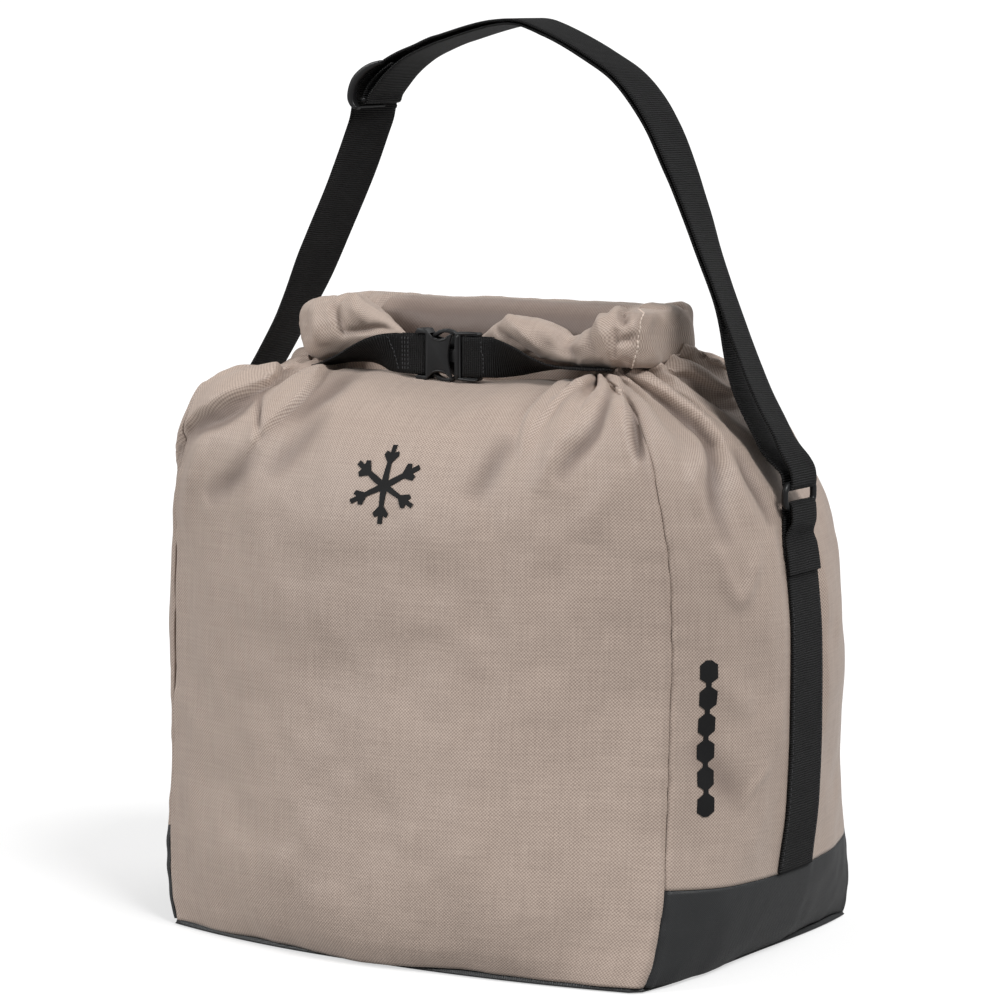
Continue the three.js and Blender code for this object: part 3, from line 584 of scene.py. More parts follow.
def rest_grid(grid):
    """The uncrumpled cloth: above the shoulder line it goes straight up."""
    rest = grid.copy()
    length = column_lengths(grid)[:, None]
    for k in range(1, SHOULDER_ROWS + 1):
        rest[:, WALL_ROWS - 1 + k] = (grid[:, WALL_ROWS - 1]
                                      + length * np.array([0, 0, k / SHOULDER_ROWS]))
    return rest


# ------------------------------------------------------------------ cloth simulation
SIM_FIRST_ROW = int(np.searchsorted(WALL_Z, 150))
SIM_FRAMES = 36
SIM_SETTINGS = dict(
    quality=7, mass=0.25, air_damping=2.0,
    tension_stiffness=30, compression_stiffness=12, shear_stiffness=4, bending_stiffness=0.35,
    tension_damping=10, compression_damping=10, shear_damping=6, bending_damping=0.6,
    vertex_group_mass="pin", pin_stiffness=1.2, use_pressure=True, uniform_pressure_force=1.6)


def seed_pleats(upper):
    """Offset the cloth in and out, more towards the collar, where it is gathered."""
    rows = upper.shape[1]
    rng = np.random.default_rng(11)
    facing = normals(upper, close_u=True)
    climb = np.clip((np.arange(rows) - (WALL_ROWS - 1 - SIM_FIRST_ROW)) / SHOULDER_ROWS, 0, 1)
    gather = plateau(84, 110, 470, 505, np.abs(FROM_FRONT))
    pitch = np.where(FROM_FRONT > 0, 36.0, 40.0)
    phase = FROM_FRONT / pitch * 2 * np.pi + 0.9 * np.sin(FROM_FRONT / 47.0)
    upper = upper + (facing * (np.sin(phase) * gather)[:, None, None]
                     * (3.4 * climb**1.2)[None, :, None])
    return upper + facing * (rng.normal(0, 0.25, (COLUMNS, rows)) * climb[None, :])[..., None]


def pin_weights(rows):
    """Full at the bottom rows and the collar, easing off towards the shoulder line."""
    weights = np.zeros(rows)
    heights = WALL_Z[SIM_FIRST_ROW:]
    weights[:len(heights)] = 1 - 0.965 * ease(205, 292, heights)
    weights[:2] = 1
    weights[-1] = 1
    return weights


def simulate(grid, rest):
    """Let the upper part of the bag settle, so the gathered cloth pleats by itself."""
    upper = seed_pleats(grid[:, SIM_FIRST_ROW:])
    rows = upper.shape[1]
    faces = grid_faces(COLUMNS, rows, close_u=True)
    ob = new_mesh("simtmp", upper.reshape(-1, 3), faces)
    ob.shape_key_add(name="Basis")
    key = ob.shape_key_add(name="rest")
    key.data.foreach_set("co", (rest[:, SIM_FIRST_ROW:] * MM).astype(np.float32).ravel())
    key.value = 0.0
    group = ob.vertex_groups.new(name="pin")
    for j, weight in enumerate(pin_weights(rows)):
        if weight > 0.02:
            group.add([i * rows + j for i in range(COLUMNS)], float(weight), "REPLACE")
    modifier = ob.modifiers.new("cloth", "CLOTH")
    for setting, value in SIM_SETTINGS.items():
        setattr(modifier.settings, setting, value)
    modifier.settings.effector_weights.gravity = 0
    modifier.settings.rest_shape_key = key
    modifier.collision_settings.use_collision = False
    modifier.collision_settings.use_self_collision = False
    modifier.point_cache.frame_start = 1
    modifier.point_cache.frame_end = SIM_FRAMES + 5
    scene = bpy.context.scene
    for number in range(1, SIM_FRAMES + 1):
        scene.frame_set(number)
    evaluated = ob.evaluated_get(bpy.context.evaluated_depsgraph_get())
    settled = np.zeros(COLUMNS * rows * 3, np.float32)
    evaluated.data.vertices.foreach_get("co", settled)
    mesh = ob.data
    bpy.data.objects.remove(ob)
    bpy.data.meshes.remove(mesh)
    scene.frame_set(1)
    grid = grid.copy()
    grid[:, SIM_FIRST_ROW:] = settled.reshape(COLUMNS, rows, 3).astype(float) / MM
    return grid


def shape_shoulders(settled, start):
    """Soften the settled cloth and set how the two shoulders stand and hang."""
    grid = settled.copy()
    soft = (0.5 * bell(CLOTH_UP[1:-1] - 304, 30))[None, :, None]
    for _ in range(26):
        grid[:, 1:-1] = grid[:, 1:-1] * (1 - soft) + soft * (grid[:, :-2] + grid[:, 2:]) / 2
    # the left shoulder stands up and out, with a dent
    lift = (bell(np.maximum(-FROM_FRONT - 235, 0), 34) * ease(112, 176, -FROM_FRONT))[:, None]
    band = plateau(318, 350, 372, 428, CLOTH_UP)
    grid[..., 2] += lift * (11.5 * band + 5.0 * bell(CLOTH_UP - 322, 16))
    grid[..., 0] -= lift * (3.0 * band)
    dent = bell(FROM_FRONT + 290, 24)[:, None]
    grid[..., 2] -= dent * (7.0 * plateau(325, 350, 395, 425, CLOTH_UP))
    # the right shoulder rises behind the middle of the side
    rise = bell(np.maximum(np.abs(FROM_FRONT - 388) - 24, 0), 42)[:, None]
    grid[..., 2] += rise * np.interp(
        CLOTH_UP, [285, 316, 332, 354, 375, 402, 412, 423, 445, 452],
        [0, 2, 4.5, 12, 16.5, 17, 16, 14, 10, 8])
    sag = plateau(250, 340, 460, 500, FROM_FRONT)[:, None]
    depth = 3.0 * plateau(285, 325, 372, 428, CLOTH_UP) + 3.2 * bell(CLOTH_UP - 303, 24)
    grid -= normals(grid, close_u=True) * (sag * depth)[..., None]
    # under the side straps the cloth keeps its drawn shape
    for wall in (RIGHT, LEFT):
        cells = WALL_CELLS[wall]
        span = slice(WALL_START[wall], WALL_START[wall + 1])
        from_middle = np.abs(np.arange(cells) / cells * 2 - 1) * 106
        press = ((1 - ease(20, 34, from_middle))[:, None]
                 * (1 - ease(262, 292, start[span, :, 2])))[..., None]
        grid[span] = grid[span] * (1 - press) + start[span] * press
    return grid


START_GRID = unsettled_grid()
SETTLED_GRID = START_GRID
SETTLED_GRID = simulate(START_GRID, rest_grid(START_GRID))
# fall back on the starting shape if the simulation has blown up
if not np.isfinite(SETTLED_GRID).all() or np.abs(SETTLED_GRID - START_GRID).max() > 120:
    SETTLED_GRID = START_GRID
BODY_GRID = shape_shoulders(SETTLED_GRID, START_GRID)


# ------------------------------------------------------------------ folds
def segment_distance(x, y, start, end):
    """Distance to a segment, signed by side, and the place 0..1 along it."""
    dx, dy = end[0] - start[0], end[1] - start[1]
    t = np.clip(((x - start[0]) * dx + (y - start[1]) * dy) / (dx * dx + dy * dy), 0, 1)
    off_x, off_y = x - (start[0] + t * dx), y - (start[1] + t * dy)
    return np.hypot(off_x, off_y) * np.sign(dx * off_y - dy * off_x), t


def crease(x, y, line, kind, depth, width, start=0.0, end=0.0, peak=0.5, lap=0.0):
    """Displacement of a fold along a line.

    kind is valley, ridge, or knife: a pleat raised on the right of the line and lapping over
    its left. start and end are the strength left at the ends, and peak is where it is greatest.
    """
    line = np.asarray(line, float)
    place = arc_length(line)
    place = place / place[-1]
    nearest = np.full(x.shape, 1e9)
    signed = np.zeros(x.shape)
    along = np.zeros(x.shape)
    for i in range(len(line) - 1):
        distance, t = segment_distance(x, y, line[i], line[i + 1])
        closer = np.abs(distance) < nearest
        nearest = np.where(closer, np.abs(distance), nearest)
        signed = np.where(closer, distance, signed)
        along = np.where(closer, place[i] + t * (place[i + 1] - place[i]), along)
    along = np.clip(along, 0, 1)
    arch = np.maximum(np.sin(np.pi * along ** (math.log(0.5) / math.log(peak))), 0) ** 0.6
    strength = np.maximum(arch, start * (1 - along) ** 0.7 + end * along**0.7)
    if kind != "knife":
        return (depth if kind == "ridge" else -depth) * strength * bell(nearest, width)
    right = 1 / (1 + np.exp(np.clip(signed / width, -30, 30)))
    raised = right * np.exp(-np.maximum(-signed, 0) / lap)
    sunk = 0.75 * (1 - right) * np.exp(-np.maximum(signed, 0) / (0.55 * lap))
    return depth * strength * (raised - sunk)


# Folds in cloth coordinates: points (distance from the front middle, length up the cloth),
# then kind, depth, width, start and end strength, and for knife folds peak and lap.
FOLDS = [
    # left shoulder: the flap over the front
    ([(-212, 441.1), (-177, 421.4), (-147, 403.5), (-133, 383), (-136, 365.1), (-145, 346.9),
      (-155, 334.6), (-167, 327), (-182, 309.1)], "knife", 4.2, 1.2, 0.2, 0.75, 0.6, 13),
    ([(-169, 314.9), (-159, 321.7), (-145, 330.4), (-135, 344.5), (-130, 361.4)],
     "valley", 2.8, 5.0, 0.2, 0.2),
    # the wedge pleat beside it
    ([(-104, 432.6), (-90, 390.4), (-86, 362.5), (-95, 342.8), (-105, 324.6)],
     "knife", 3.4, 1.3, 0.5, 0.3, 0.5, 12),
    ([(-129, 371.3), (-117, 348.2), (-105, 325.6)], "valley", 2.2, 2.6, 0.2, 0.5, 0.6),
    ([(-86, 335.9), (-70, 364.2), (-72, 404.3)], "valley", 1.8, 8.0, 0.1, 0.5),
    ([(-93, 297), (-76, 316.1), (-60, 346.2)], "valley", 1.3, 9.0),
    ([(-144, 274), (-121, 295), (-107, 318.1)], "valley", 1.7, 9.0),
    ([(-168, 250), (-160, 290), (-150, 318.4)], "ridge", 1.5, 9.0, 0, 0.3, 0.6),
    # front, right: the pleat under the closure webbing
    ([(88, 320.4), (84, 340.9), (81, 357), (79, 384.9), (66, 431.9)],
     "knife", 2.7, 1.4, 0.1, 0.6, 0.5, 10),
    ([(126, 441.4), (114, 395.8), (103, 372), (95, 349.2), (92, 326.2)],
     "knife", 2.7, 1.4, 0.6, 0.1, 0.5, 10),
    ([(116, 306.3), (126, 326.9), (139, 345.1), (150, 368), (170, 414.8)],
     "valley", 2.6, 6.5, 0, 0.5),
    ([(104, 300), (114, 329.5), (126, 357.3), (140, 392.6)], "ridge", 1.9, 7.0, 0, 0.3),
    ([(60, 290), (72, 316), (78, 336.8)], "valley", 1.4, 8.0),
    ([(132, 268), (142, 292), (156, 317.7)], "ridge", 1.5, 9.0),
    # the deep pocket on the right front corner
    ([(216, 448.2), (197, 426.5), (183, 406.9), (174.5, 379.3), (168.5, 350.5), (167, 336.1),
      (167, 319.1)], "knife", 4.0, 1.9, 0.3, 0.3, 0.68, 11),
    ([(176, 366.1), (172.5, 341.1), (171, 320.8)], "valley", 2.4, 3.4, 0.2, 0.1, 0.6),
    # right side
    ([(252, 341.1), (255, 356.2), (257, 373.6), (257, 396.4), (256, 425.2), (252, 445.6),
      (236, 449.1)], "knife", 4.4, 1.35, 0.2, 0.5, 0.3, 13),
    ([(247, 359.7), (249, 383.6), (249, 417.1)], "valley", 1.8, 4.0, 0, 0.3, 0.4),
    ([(262, 334.8), (273, 355.4), (284, 380.5), (286, 411.7), (270, 439.1)],
     "ridge", 1.7, 5.0, 0.1, 0.5),
    ([(352, 367.6), (326, 386.9), (321, 405.7), (318, 430.1), (296, 443.9), (272, 449.1)],
     "knife", 3.4, 1.4, 0.6, 0.5, 0.5, 12),
    ([(300, 431.1), (303, 408.2), (309, 385.7), (330, 362.9)], "valley", 1.5, 4.5, 0.2, 0.3),
    ([(386, 402), (380, 420), (354, 437), (326, 450)], "knife", 2.2, 2.0, 0.5, 0.5, 0.5, 12),
    ([(257, 376.1), (248, 350.1), (229, 319), (219, 297), (217, 262)],
     "valley", 2.3, 6.5, 0.3, 0, 0.4),
    ([(236, 359.4), (224, 329.6), (207, 309.8), (202, 285)], "ridge", 1.5, 6.0, 0.2, 0),
    ([(252, 343.3), (243, 313.5), (240, 300), (246, 268)], "ridge", 1.9, 7.0, 0.2, 0),
    ([(262, 336.9), (256, 310.2), (258, 297), (262, 270)], "valley", 2.0, 5.5, 0.2, 0),
    ([(208, 266), (222, 231), (237, 250), (249, 274)], "ridge", 1.5, 5.0, 0, 0, 0.4),
    ([(196, 196), (214, 176), (236, 160)], "ridge", 1.3, 9.0),
    ([(190, 150), (206, 128), (232, 104)], "valley", 1.2, 10.0),
    ([(226, 106), (236, 118), (250, 128)], "ridge", 0.8, 3.0),
    # back and left side
    ([(470, 307.9), (478, 333.6), (484, 368.8), (500, 428.4)],
     "knife", 2.6, 1.6, 0.1, 0.5, 0.5, 11),
    ([(430, 314.7), (440, 343.9), (452, 394)], "valley", 2.2, 5.0, 0.1, 0.4),
    ([(-470, 316.2), (-476, 342.4), (-486, 375.8), (-500, 427.5)],
     "knife", 2.6, 1.6, 0.1, 0.5, 0.5, 11),
    ([(-420, 322.9), (-432, 352.9), (-452, 399.2)], "valley", 2.4, 5.0, 0.1, 0.4),
    ([(-330, 348.2), (-322, 383.7), (-318, 426)], "knife", 2.6, 1.6, 0.1, 0.5, 0.5, 11),
    ([(-262, 347.9), (-258, 383.4), (-250, 425.8)], "knife", 2.4, 1.6, 0.1, 0.5, 0.5, 11),
    ([(-232, 300), (-240, 337), (-262, 379.3)], "valley", 1.8, 7.0, 0, 0.3),
    ([(-300, 290), (-306, 327.5), (-300, 370.9)], "valley", 1.6, 8.0, 0, 0.3),
    ([(-380, 300), (-372, 333.5), (-366, 375.4)], "ridge", 1.8, 6.0, 0, 0.3),
]
FOLD_GAIN = 1.5
BACK_MIDDLE = 580.9                      # half the way round, as used by the folds
WALL_MIDDLE = [0.0, 290.5, BACK_MIDDLE, -290.5]


def wall_folds(wall, across, up):
    """Folds on a wall; across is the distance from the wall's middle."""
    total = 0 * across
    # the back wall also takes the folds measured round from the left
    for shift in ((0, -2 * BACK_MIDDLE) if wall == BACK else (0,)):
        place = across + WALL_MIDDLE[wall] + shift
        for points, *shape in FOLDS:
            xs = [point[0] for point in points]
            if max(xs) < place.min() - 60 or min(xs) > place.max() + 60:
                continue
            line = catmull(points, 5 * len(points))
            total = total + FOLD_GAIN * crease(place, up, line, *shape)
    return total


# ------------------------------------------------------------------ body panels
BASE_Z = 61.0                            # seam between the coated base and the side cloth
PANEL_BOTTOM = 3.2
CLOTH_THICKNESS = 1.5
FINE_ROW, SHOULDER_ROW, SHOULDER_FROM = 2.3, 1.6, 270


def fine_columns(wall):
    """Columns and distances across a wall, closer together near the seams, and its width."""
    first, last = WALL_START[wall], WALL_START[wall + 1]
    width = AROUND[last] - AROUND[first]
    extra = np.array([0.8, 1.6, 3.2, 4.2])
    across = np.concatenate([np.linspace(0, width, int(width / 1.8)), extra, width - extra])
    across = np.unique(np.round(across, 3))
    cells = np.arange(WALL_CELLS[wall] + 1)
    columns = np.interp(across, AROUND[first:last + 1] - AROUND[first], cells) + first
    return columns, across, width


def fine_rows(bottom, top):
    if top < SHOULDER_FROM:
        return np.linspace(bottom, top, int((top - bottom) / FINE_ROW))
    return np.concatenate([
        np.linspace(bottom, SHOULDER_FROM, int((SHOULDER_FROM - bottom) / FINE_ROW),
                    endpoint=False),
        np.linspace(SHOULDER_FROM, top, int((top - SHOULDER_FROM) / SHOULDER_ROW))])


def body_panel(name, wall, bottom, top, material, slot, node):
    """Cloth of one wall; returns the object, and its surface for parts that lie on it."""
    columns, across, width = fine_columns(wall)
    up = fine_rows(bottom, top)
    base = resample(BODY_GRID, columns, np.interp(up, CLOTH_UP, np.arange(ROWS)))
    facing = normals(base)
    s, v = np.meshgrid(across, up, indexing="ij")
    around = s + AROUND[WALL_START[wall]]
    seam = np.minimum(s, width - s)
    # pulled in at the seam, a soft welt beside it, and puckers that fade out
    relief = -1.5 * bell(seam, 1.7) + 0.45 * bell(seam - 4.2, 2.2)
    pucker_row = wall + np.where(s < width / 2, 0.0, 3.0)
    relief = relief + 0.55 * np.exp(-seam / 10.0) * value_noise(v / 8.5, pucker_row, 31)
    # broad, slack undulation and finer crumple
    slack = 2.7 * layered_noise(around / 88.0, v / 96.0, seed=3, octaves=3)
    crumple = 0.5 * layered_noise(around / 21.0, v / 30.0, seed=9, octaves=2)
    relief = relief + (slack + crumple) * (0.35 + 0.65 * ease(0, 25, seam))
    folds = wall_folds(wall, s - width / 2, v)
    relief = relief + folds
    if wall in (RIGHT, LEFT):
        under_strap = (1 - ease(21, 30, np.abs(s - width / 2))) * (1 - ease(262, 285, v))
        relief = relief * (1 - 0.92 * under_strap)
    outer = base + facing * relief[..., None]
    uv = np.stack([around, bottom + arc_length(base.swapaxes(0, 1)).T], -1)
    ob = closed_sheet(name, outer, outer - normals(outer) * CLOTH_THICKNESS, uv)
    # painted shade in the fold valleys: the deeper the fold, the darker
    set_painted_shade(ob, np.clip(-folds / 2.8, 0, 1))
    finish(ob, material, slot, node)
    return ob, (outer, facing, across, up)


PANELS = {}
for name, wall, bottom, node in (
        ("front_cloth", FRONT, PANEL_BOTTOM, "front_panel"),
        ("back_cloth", BACK, PANEL_BOTTOM, "back_panel"),
        ("right_side_cloth", RIGHT, BASE_Z, "right_side_panel"),
        ("left_side_cloth", LEFT, BASE_Z, "left_side_panel")):
    panel, PANELS[wall] = body_panel(name, wall, bottom, SHOULDER_Z + SHOULDER_LENGTH,
                                     CLOTH, "woven_fabric", node)
    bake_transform(panel)
for side, wall in (("right", RIGHT), ("left", LEFT)):
    panel, _ = body_panel(side + "_base_cloth", wall, PANEL_BOTTOM, BASE_Z - 0.4,
                          COATED, "coated_fabric", side + "_base_panel")
    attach(panel, "bag")


# ------------------------------------------------------------------ webbing, wire and thread
def web_section():
    """Outline of a strap as (across, through) in -1..1, with soft edges."""
    across = np.linspace(-1, 1, 9) * 0.985
    face = [(a, 1.0) for a in across]
    back = [(a, -1.0) for a in across[::-1]]
    return np.array(face + [(1.0, 0.45), (1.0, -0.45)] + back + [(-1.0, -0.45), (-1.0, 0.45)])


def web(name, stations, thickness, step, wave, seed=5):
    """Flat strap through stations (x, y, z, cross direction x, y, z, width).

    Returns the object and its track: centre line, cross directions, normals, distances along
    and half widths. UVs are in mm along and across.
    """
    stations = np.asarray(stations, float)
    points = stations[:, :3]
    count = max(4, int(arc_length(points)[-1] / step))
    dense = catmull(points, count * 4)
    dense_along = arc_length(dense)
    # distance along the curve at which it passes each station
    passed = [0.0]
    k = 0
    for point in points[1:-1]:
        distance = np.linalg.norm(dense[k:] - point, axis=1)
        k += int(np.argmin(distance[:max(8, len(distance) // 2)]))
        passed.append(dense_along[k])
    passed.append(dense_along[-1])
    passed = np.maximum.accumulate(np.array(passed) + np.arange(len(passed)) * 1e-6)
    along = np.linspace(0, dense_along[-1], count)
    centre = interp_rows(along, dense_along, dense)
    carried = interp_rows(along, passed, stations[:, 3:])
    tangent = unit(np.gradient(centre, axis=0))
    cross = unit(carried[:, :3])
    cross = unit(cross - tangent * (cross * tangent).sum(1, keepdims=True))
    facing = np.cross(tangent, cross)
    half = carried[:, 3] / 2
    section = web_section()
    across = section[:, 0][None, :] * half[:, None]
    through = section[:, 1][None, :] * (thickness / 2)
    ripple = wave * value_noise(along[:, None] / 21.0, across / 19.0 + 4.0, seed)
    rings = (centre[:, None] + cross[:, None] * across[..., None]
             + facing[:, None] * (through + ripple)[..., None])
    uv = np.stack(np.broadcast_arrays(along[:, None], across), -1)
    ob = loft(name, rings, uv)
    finish(ob, WEBBING, "webbing")
    return ob, (centre, cross, facing, along, half)


def tube(name, path, radius, segments, closed=False, step=None):
    """Round plastic bar; radius is one number, or several spread along the path."""
    path = np.asarray(path, float)
    if step:
        length = arc_length(path)[-1]
        path = catmull(path, max(6, int(length / step)), closed)
    radii = np.atleast_1d(radius)
    radii = np.interp(np.linspace(0, 1, len(path)), np.linspace(0, 1, len(radii)), radii)
    if closed:
        tangent = np.roll(path, -1, 0) - np.roll(path, 1, 0)
    else:
        tangent = np.gradient(path, axis=0)
    tangent = unit(tangent)
    upright = np.array([0, 0, 1.0]) if abs(tangent[0, 2]) < 0.9 else np.array([1.0, 0, 0])
    first = np.zeros_like(path)
    direction = np.cross(tangent[0], upright)
    for i in range(len(path)):
        direction = unit(direction - tangent[i] * (direction @ tangent[i]))
        first[i] = direction
    second = np.cross(tangent, first)
    angle = (np.arange(segments) * 2 * math.pi / segments)[None, :, None]
    rings = path[:, None] + (first[:, None] * np.cos(angle)
                             + second[:, None] * np.sin(angle)) * radii[:, None, None]
    ob = loft(name, rings, closed=closed)
    finish(ob, PLASTIC, "moulded_plastic")
    return ob


def stitches(name, line, facing, length, gap, radius, lift, body,
             material=DARK_THREAD, slot="webbing"):
    """Row of thread stitches along a line on a surface: small capsules sunk at their ends."""
    line, facing = np.asarray(line, float), np.asarray(facing, float)
    along = arc_length(line)
    part = np.linspace(0, 1, 6)
    arch = 4 * part * (1 - part)
    height = (lift * arch - 0.1 * (1 - arch))[:, None]
    radii = (radius * (0.45 + 0.55 * arch))[:, None]
    angle = np.arange(6) * math.pi / 3
    vertices, faces = [], []
    start = gap
    while start + length < along[-1]:
        centre = interp_rows(start + length * part, along, line)
        normal = unit(interp_rows(start + length / 2, along, facing))
        cross = np.cross(unit(centre[-1] - centre[0]), normal)
        rings = (centre[:, None] + normal * (height + radii * np.sin(angle))[..., None]
                 + cross * (radii * np.cos(angle))[..., None])
        base = len(vertices)
        vertices.extend(rings.reshape(-1, 3))
        faces += grid_faces(6, 6, close_v=True, base=base)
        faces.append([base + a for a in range(6)][::-1])
        faces.append([base + 30 + a for a in range(6)])
        start += length + gap
    ob = fix_normals(new_mesh(name, vertices, faces))
    finish(ob, material, slot)
    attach(ob, body)


def bevelled(node, body, width):
    """Own copy of a CAD solid with softened edges."""
    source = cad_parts[node]
    mesh = source.data.copy()
    ob = bpy.data.objects.new(node + "_moulded", mesh)
    bpy.context.scene.collection.objects.link(ob)
    ob.matrix_world = source.matrix_world.copy()
    bm = bmesh.new()
    bm.from_mesh(mesh)
    bmesh.ops.remove_doubles(bm, verts=bm.verts, dist=1e-6)
    bmesh.ops.dissolve_limit(bm, angle_limit=math.radians(1.0), verts=bm.verts, edges=bm.edges)
    edges = [e for e in bm.edges
             if len(e.link_faces) == 2 and e.calc_face_angle(0) > math.radians(32)]
    bmesh.ops.bevel(bm, geom=edges, offset=width * MM, offset_type="OFFSET", segments=3,
                    profile=0.5, affect="EDGES", clamp_overlap=True)
    bmesh.ops.recalc_face_normals(bm, faces=bm.faces)
    bm.to_mesh(mesh)
    bm.free()
    mesh.polygons.foreach_set("use_smooth", [True] * len(mesh.polygons))
    mesh.set_sharp_from_angle(angle=math.radians(38))
    finish(ob, PLASTIC, "moulded_plastic", node)
    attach(ob, body)


# ------------------------------------------------------------------ roll
# Stations from the left front tip, round the left end, along the back and round the right end
# to the right front tip: outer x, y, inner x, y, top z, bottom z
ROLL = np.array([
    (-44, -44, -44, -41, 377.6, 375.0), (-53, -46.5, -53, -36, 382.5, 372.2),
    (-65, -48.8, -65, -31, 390.5, 368.6), (-76, -50, -76, -26, 396.5, 366),
    (-88, -50.5, -88, -20, 401, 363.4), (-100, -50, -98, -16.5, 398.6, 360.8),
    (-118, -46, -102, -16, 396.6, 358.4), (-130, -36.5, -103, -15.5, 395.6, 358.4),
    (-136.5, -22, -103.5, -15, 395.6, 359.4), (-136.5, -8, -103, -14, 396.4, 360),
    (-131, 5, -102, -13.5, 397.5, 359.5), (-120, 16, -100, -13.5, 399, 358.5),
    (-106, 22.5, -95, -14.5, 399.5, 358), (-80, 24, -80, -17, 399.4, 357.5),
    (-40, 24, -40, -18, 399.2, 357.2), (0, 24, 0, -18, 399.1, 357.2),
    (40, 24, 40, -18, 399.2, 357.2), (75, 24, 75, -18, 399.3, 357.5),
    (98, 24, 95, -16, 399.2, 358), (114.5, 24, 101, -14.5, 398.6, 359),
    (124.5, 22, 103, -14, 400.4, 361), (128.2, 13, 103.5, -14.5, 398.6, 362.5),
    (127.8, -4, 103.5, -15, 397.4, 363.4), (127.2, -20, 103.5, -15.5, 397.4, 364),
    (126.0, -35, 103, -16, 398.2, 364.2), (122.4, -45.6, 102, -17, 399.4, 364.0),
    (115, -49.5, 100, -18, 400.4, 363.8), (106, -50.2, 98, -19, 400.5, 363.4),
    (97, -50.2, 93, -20, 396.0, 363.0), (89, -49.4, 87, -22, 388.0, 362.8),
    (81, -48.5, 80, -24, 381.2, 363.0), (73, -48, 73, -26, 379.6, 363.8),
    (65, -48.6, 65, -27, 384.4, 364.6), (56, -49.2, 56, -28, 388.6, 366),
    (46, -49.6, 46, -30, 391.8, 368.2), (36, -49.2, 36, -33, 392.0, 370.6),
    (25, -47.6, 25, -37, 387.4, 373.2), (13, -45, 13, -41.6, 379.6, 376.0),
], float)
ROLL_STEPS, ROLL_AROUND = 340, 104
# rows as in FOLDS, with points (x, z)
ROLL_FRONT_FOLDS = [
    # left lobe
    ([(-97, 396), (-92, 387), (-88, 377)], "valley", 3.2, 3.2),
    ([(-88, 377), (-74, 379), (-60, 381.5), (-50, 381)], "valley", 2.2, 2.2, 0.8, 0),
    ([(-84, 401), (-78, 392), (-71, 384)], "ridge", 2.0, 3.5, 0.8, 0),
    ([(-112, 394), (-106, 378), (-104, 368)], "ridge", 1.3, 7.0),
    ([(-124, 392), (-118, 380), (-116, 366)], "valley", 1.0, 5.0),
    # right lobe
    ([(26, 384), (40, 375.5), (50, 367)], "valley", 2.2, 2.6, 0.5, 0.7),
    ([(33, 391), (45, 384), (58, 372)], "ridge", 1.5, 3.2, 0.8, 0.2),
    ([(74, 381), (78, 372), (84, 366)], "valley", 1.8, 4.5, 0.9, 0.0),
    ([(95, 398), (104, 386), (108, 376), (106, 366)], "ridge", 2.0, 4.0, 0.6, 0.2),
    ([(112, 389), (111, 378), (110, 370)], "valley", 1.8, 2.6),
    ([(112, 399), (118, 390)], "valley", 3.0, 2.6, 0.8, 0),
    ([(112, 380), (127, 384)], "valley", 1.7, 2.4),
    ([(88, 392), (93, 380), (99, 370)], "valley", 1.2, 3.0),
]
# creases on top of the roll: points (x, y), depth, width
ROLL_TOP_FOLDS = [
    ([(-92, -44), (-88, -28), (-84, -8), (-80, 6)], 3.0, 2.6),
    ([(-104, -40), (-99, -22), (-100, 0)], 2.2, 3.0),
    ([(-126, -18), (-112, -14), (-98, -12)], 2.4, 3.0),
    ([(100, -44), (97, -26), (92, -6)], 2.6, 2.6),
    ([(122, -10), (110, -12), (98, -14)], 2.2, 2.8),
    ([(112, 4), (122, 10), (131, 13)], 1.6, 2.4),
    ([(112, -40), (108, -26), (106, -12)], 2.0, 2.6),
]


def roll_relief(points, facing, back, size):
    """Crumple, folds and hem on the roll; back is 1 along the middle of its back run."""
    x, y, z = points[..., 0], points[..., 1], points[..., 2]
    front = ease(0.0, 0.35, -facing[..., 1]) * ease(-26, -34, y)
    top = ease(0.3, 0.8, facing[..., 2])
    relief = (0.9 * layered_noise(x / 40.0 + 2, (z + y) / 26.0, seed=41, octaves=3)
              * (0.4 + 0.6 * (1 - back)))
    relief = relief + (0.28 * layered_noise(x / 9.0, (z - y) / 9.0, seed=47, octaves=2)
                       * (1 - 0.6 * back))
    relief = relief + front * sum(crease(x, z, *fold) for fold in ROLL_FRONT_FOLDS)
    for line, depth, width in ROLL_TOP_FOLDS:
        relief = relief + top * crease(x, y, line, "valley", depth, width, 0.4, 0.4)
    # hem of the outermost turn along the back
    relief = relief + back * ease(6, 10, y) * 0.9 * ease(383.2, 384.6, z) - 0.45 * back
    return 1.75 * relief * size


def roll_mesh(points, along):
    """Tube of cloth with a fan closing each end, and UVs cut along one line."""
    count, around = points.shape[:2]
    wall_count = count * around
    middle = points[count // 2]
    round_section = arc_length(middle)
    girth = round_section[-1] + np.linalg.norm(middle[0] - middle[-1])
    vertices = points.reshape(-1, 3)
    faces = grid_faces(count, around, close_v=True)
    for base, reverse in ((0, False), (wall_count - around, True)):
        hub = len(vertices)
        vertices = np.concatenate(
            [vertices, vertices[base:base + around].mean(0, keepdims=True)])
        for j in range(around):
            edge = [base + j, base + (j + 1) % around]
            faces.append((edge[::-1] if reverse else edge) + [hub])
    uv = np.stack(np.broadcast_arrays(along[:, None], round_section[None, :]), -1)
    uv = np.concatenate([uv.reshape(-1, 2), [[0, 30], [along[-1], 30]]])
    ob = new_mesh("rolled_top_cloth", vertices, faces)
    index = corner_vertices(ob.data)
    corner_uv = uv[index]
    # faces that cross the cut carry on past the full girth
    for polygon in ob.data.polygons:
        on_wall = [k for k in polygon.loop_indices if index[k] < wall_count]
        places = [index[k] % around for k in on_wall]
        if max(places) == around - 1 and min(places) == 0:
            for k, place in zip(on_wall, places):
                if place == 0:
                    corner_uv[k, 1] += girth
    add_uv(ob.data, corner_uv)
    return fix_normals(ob)


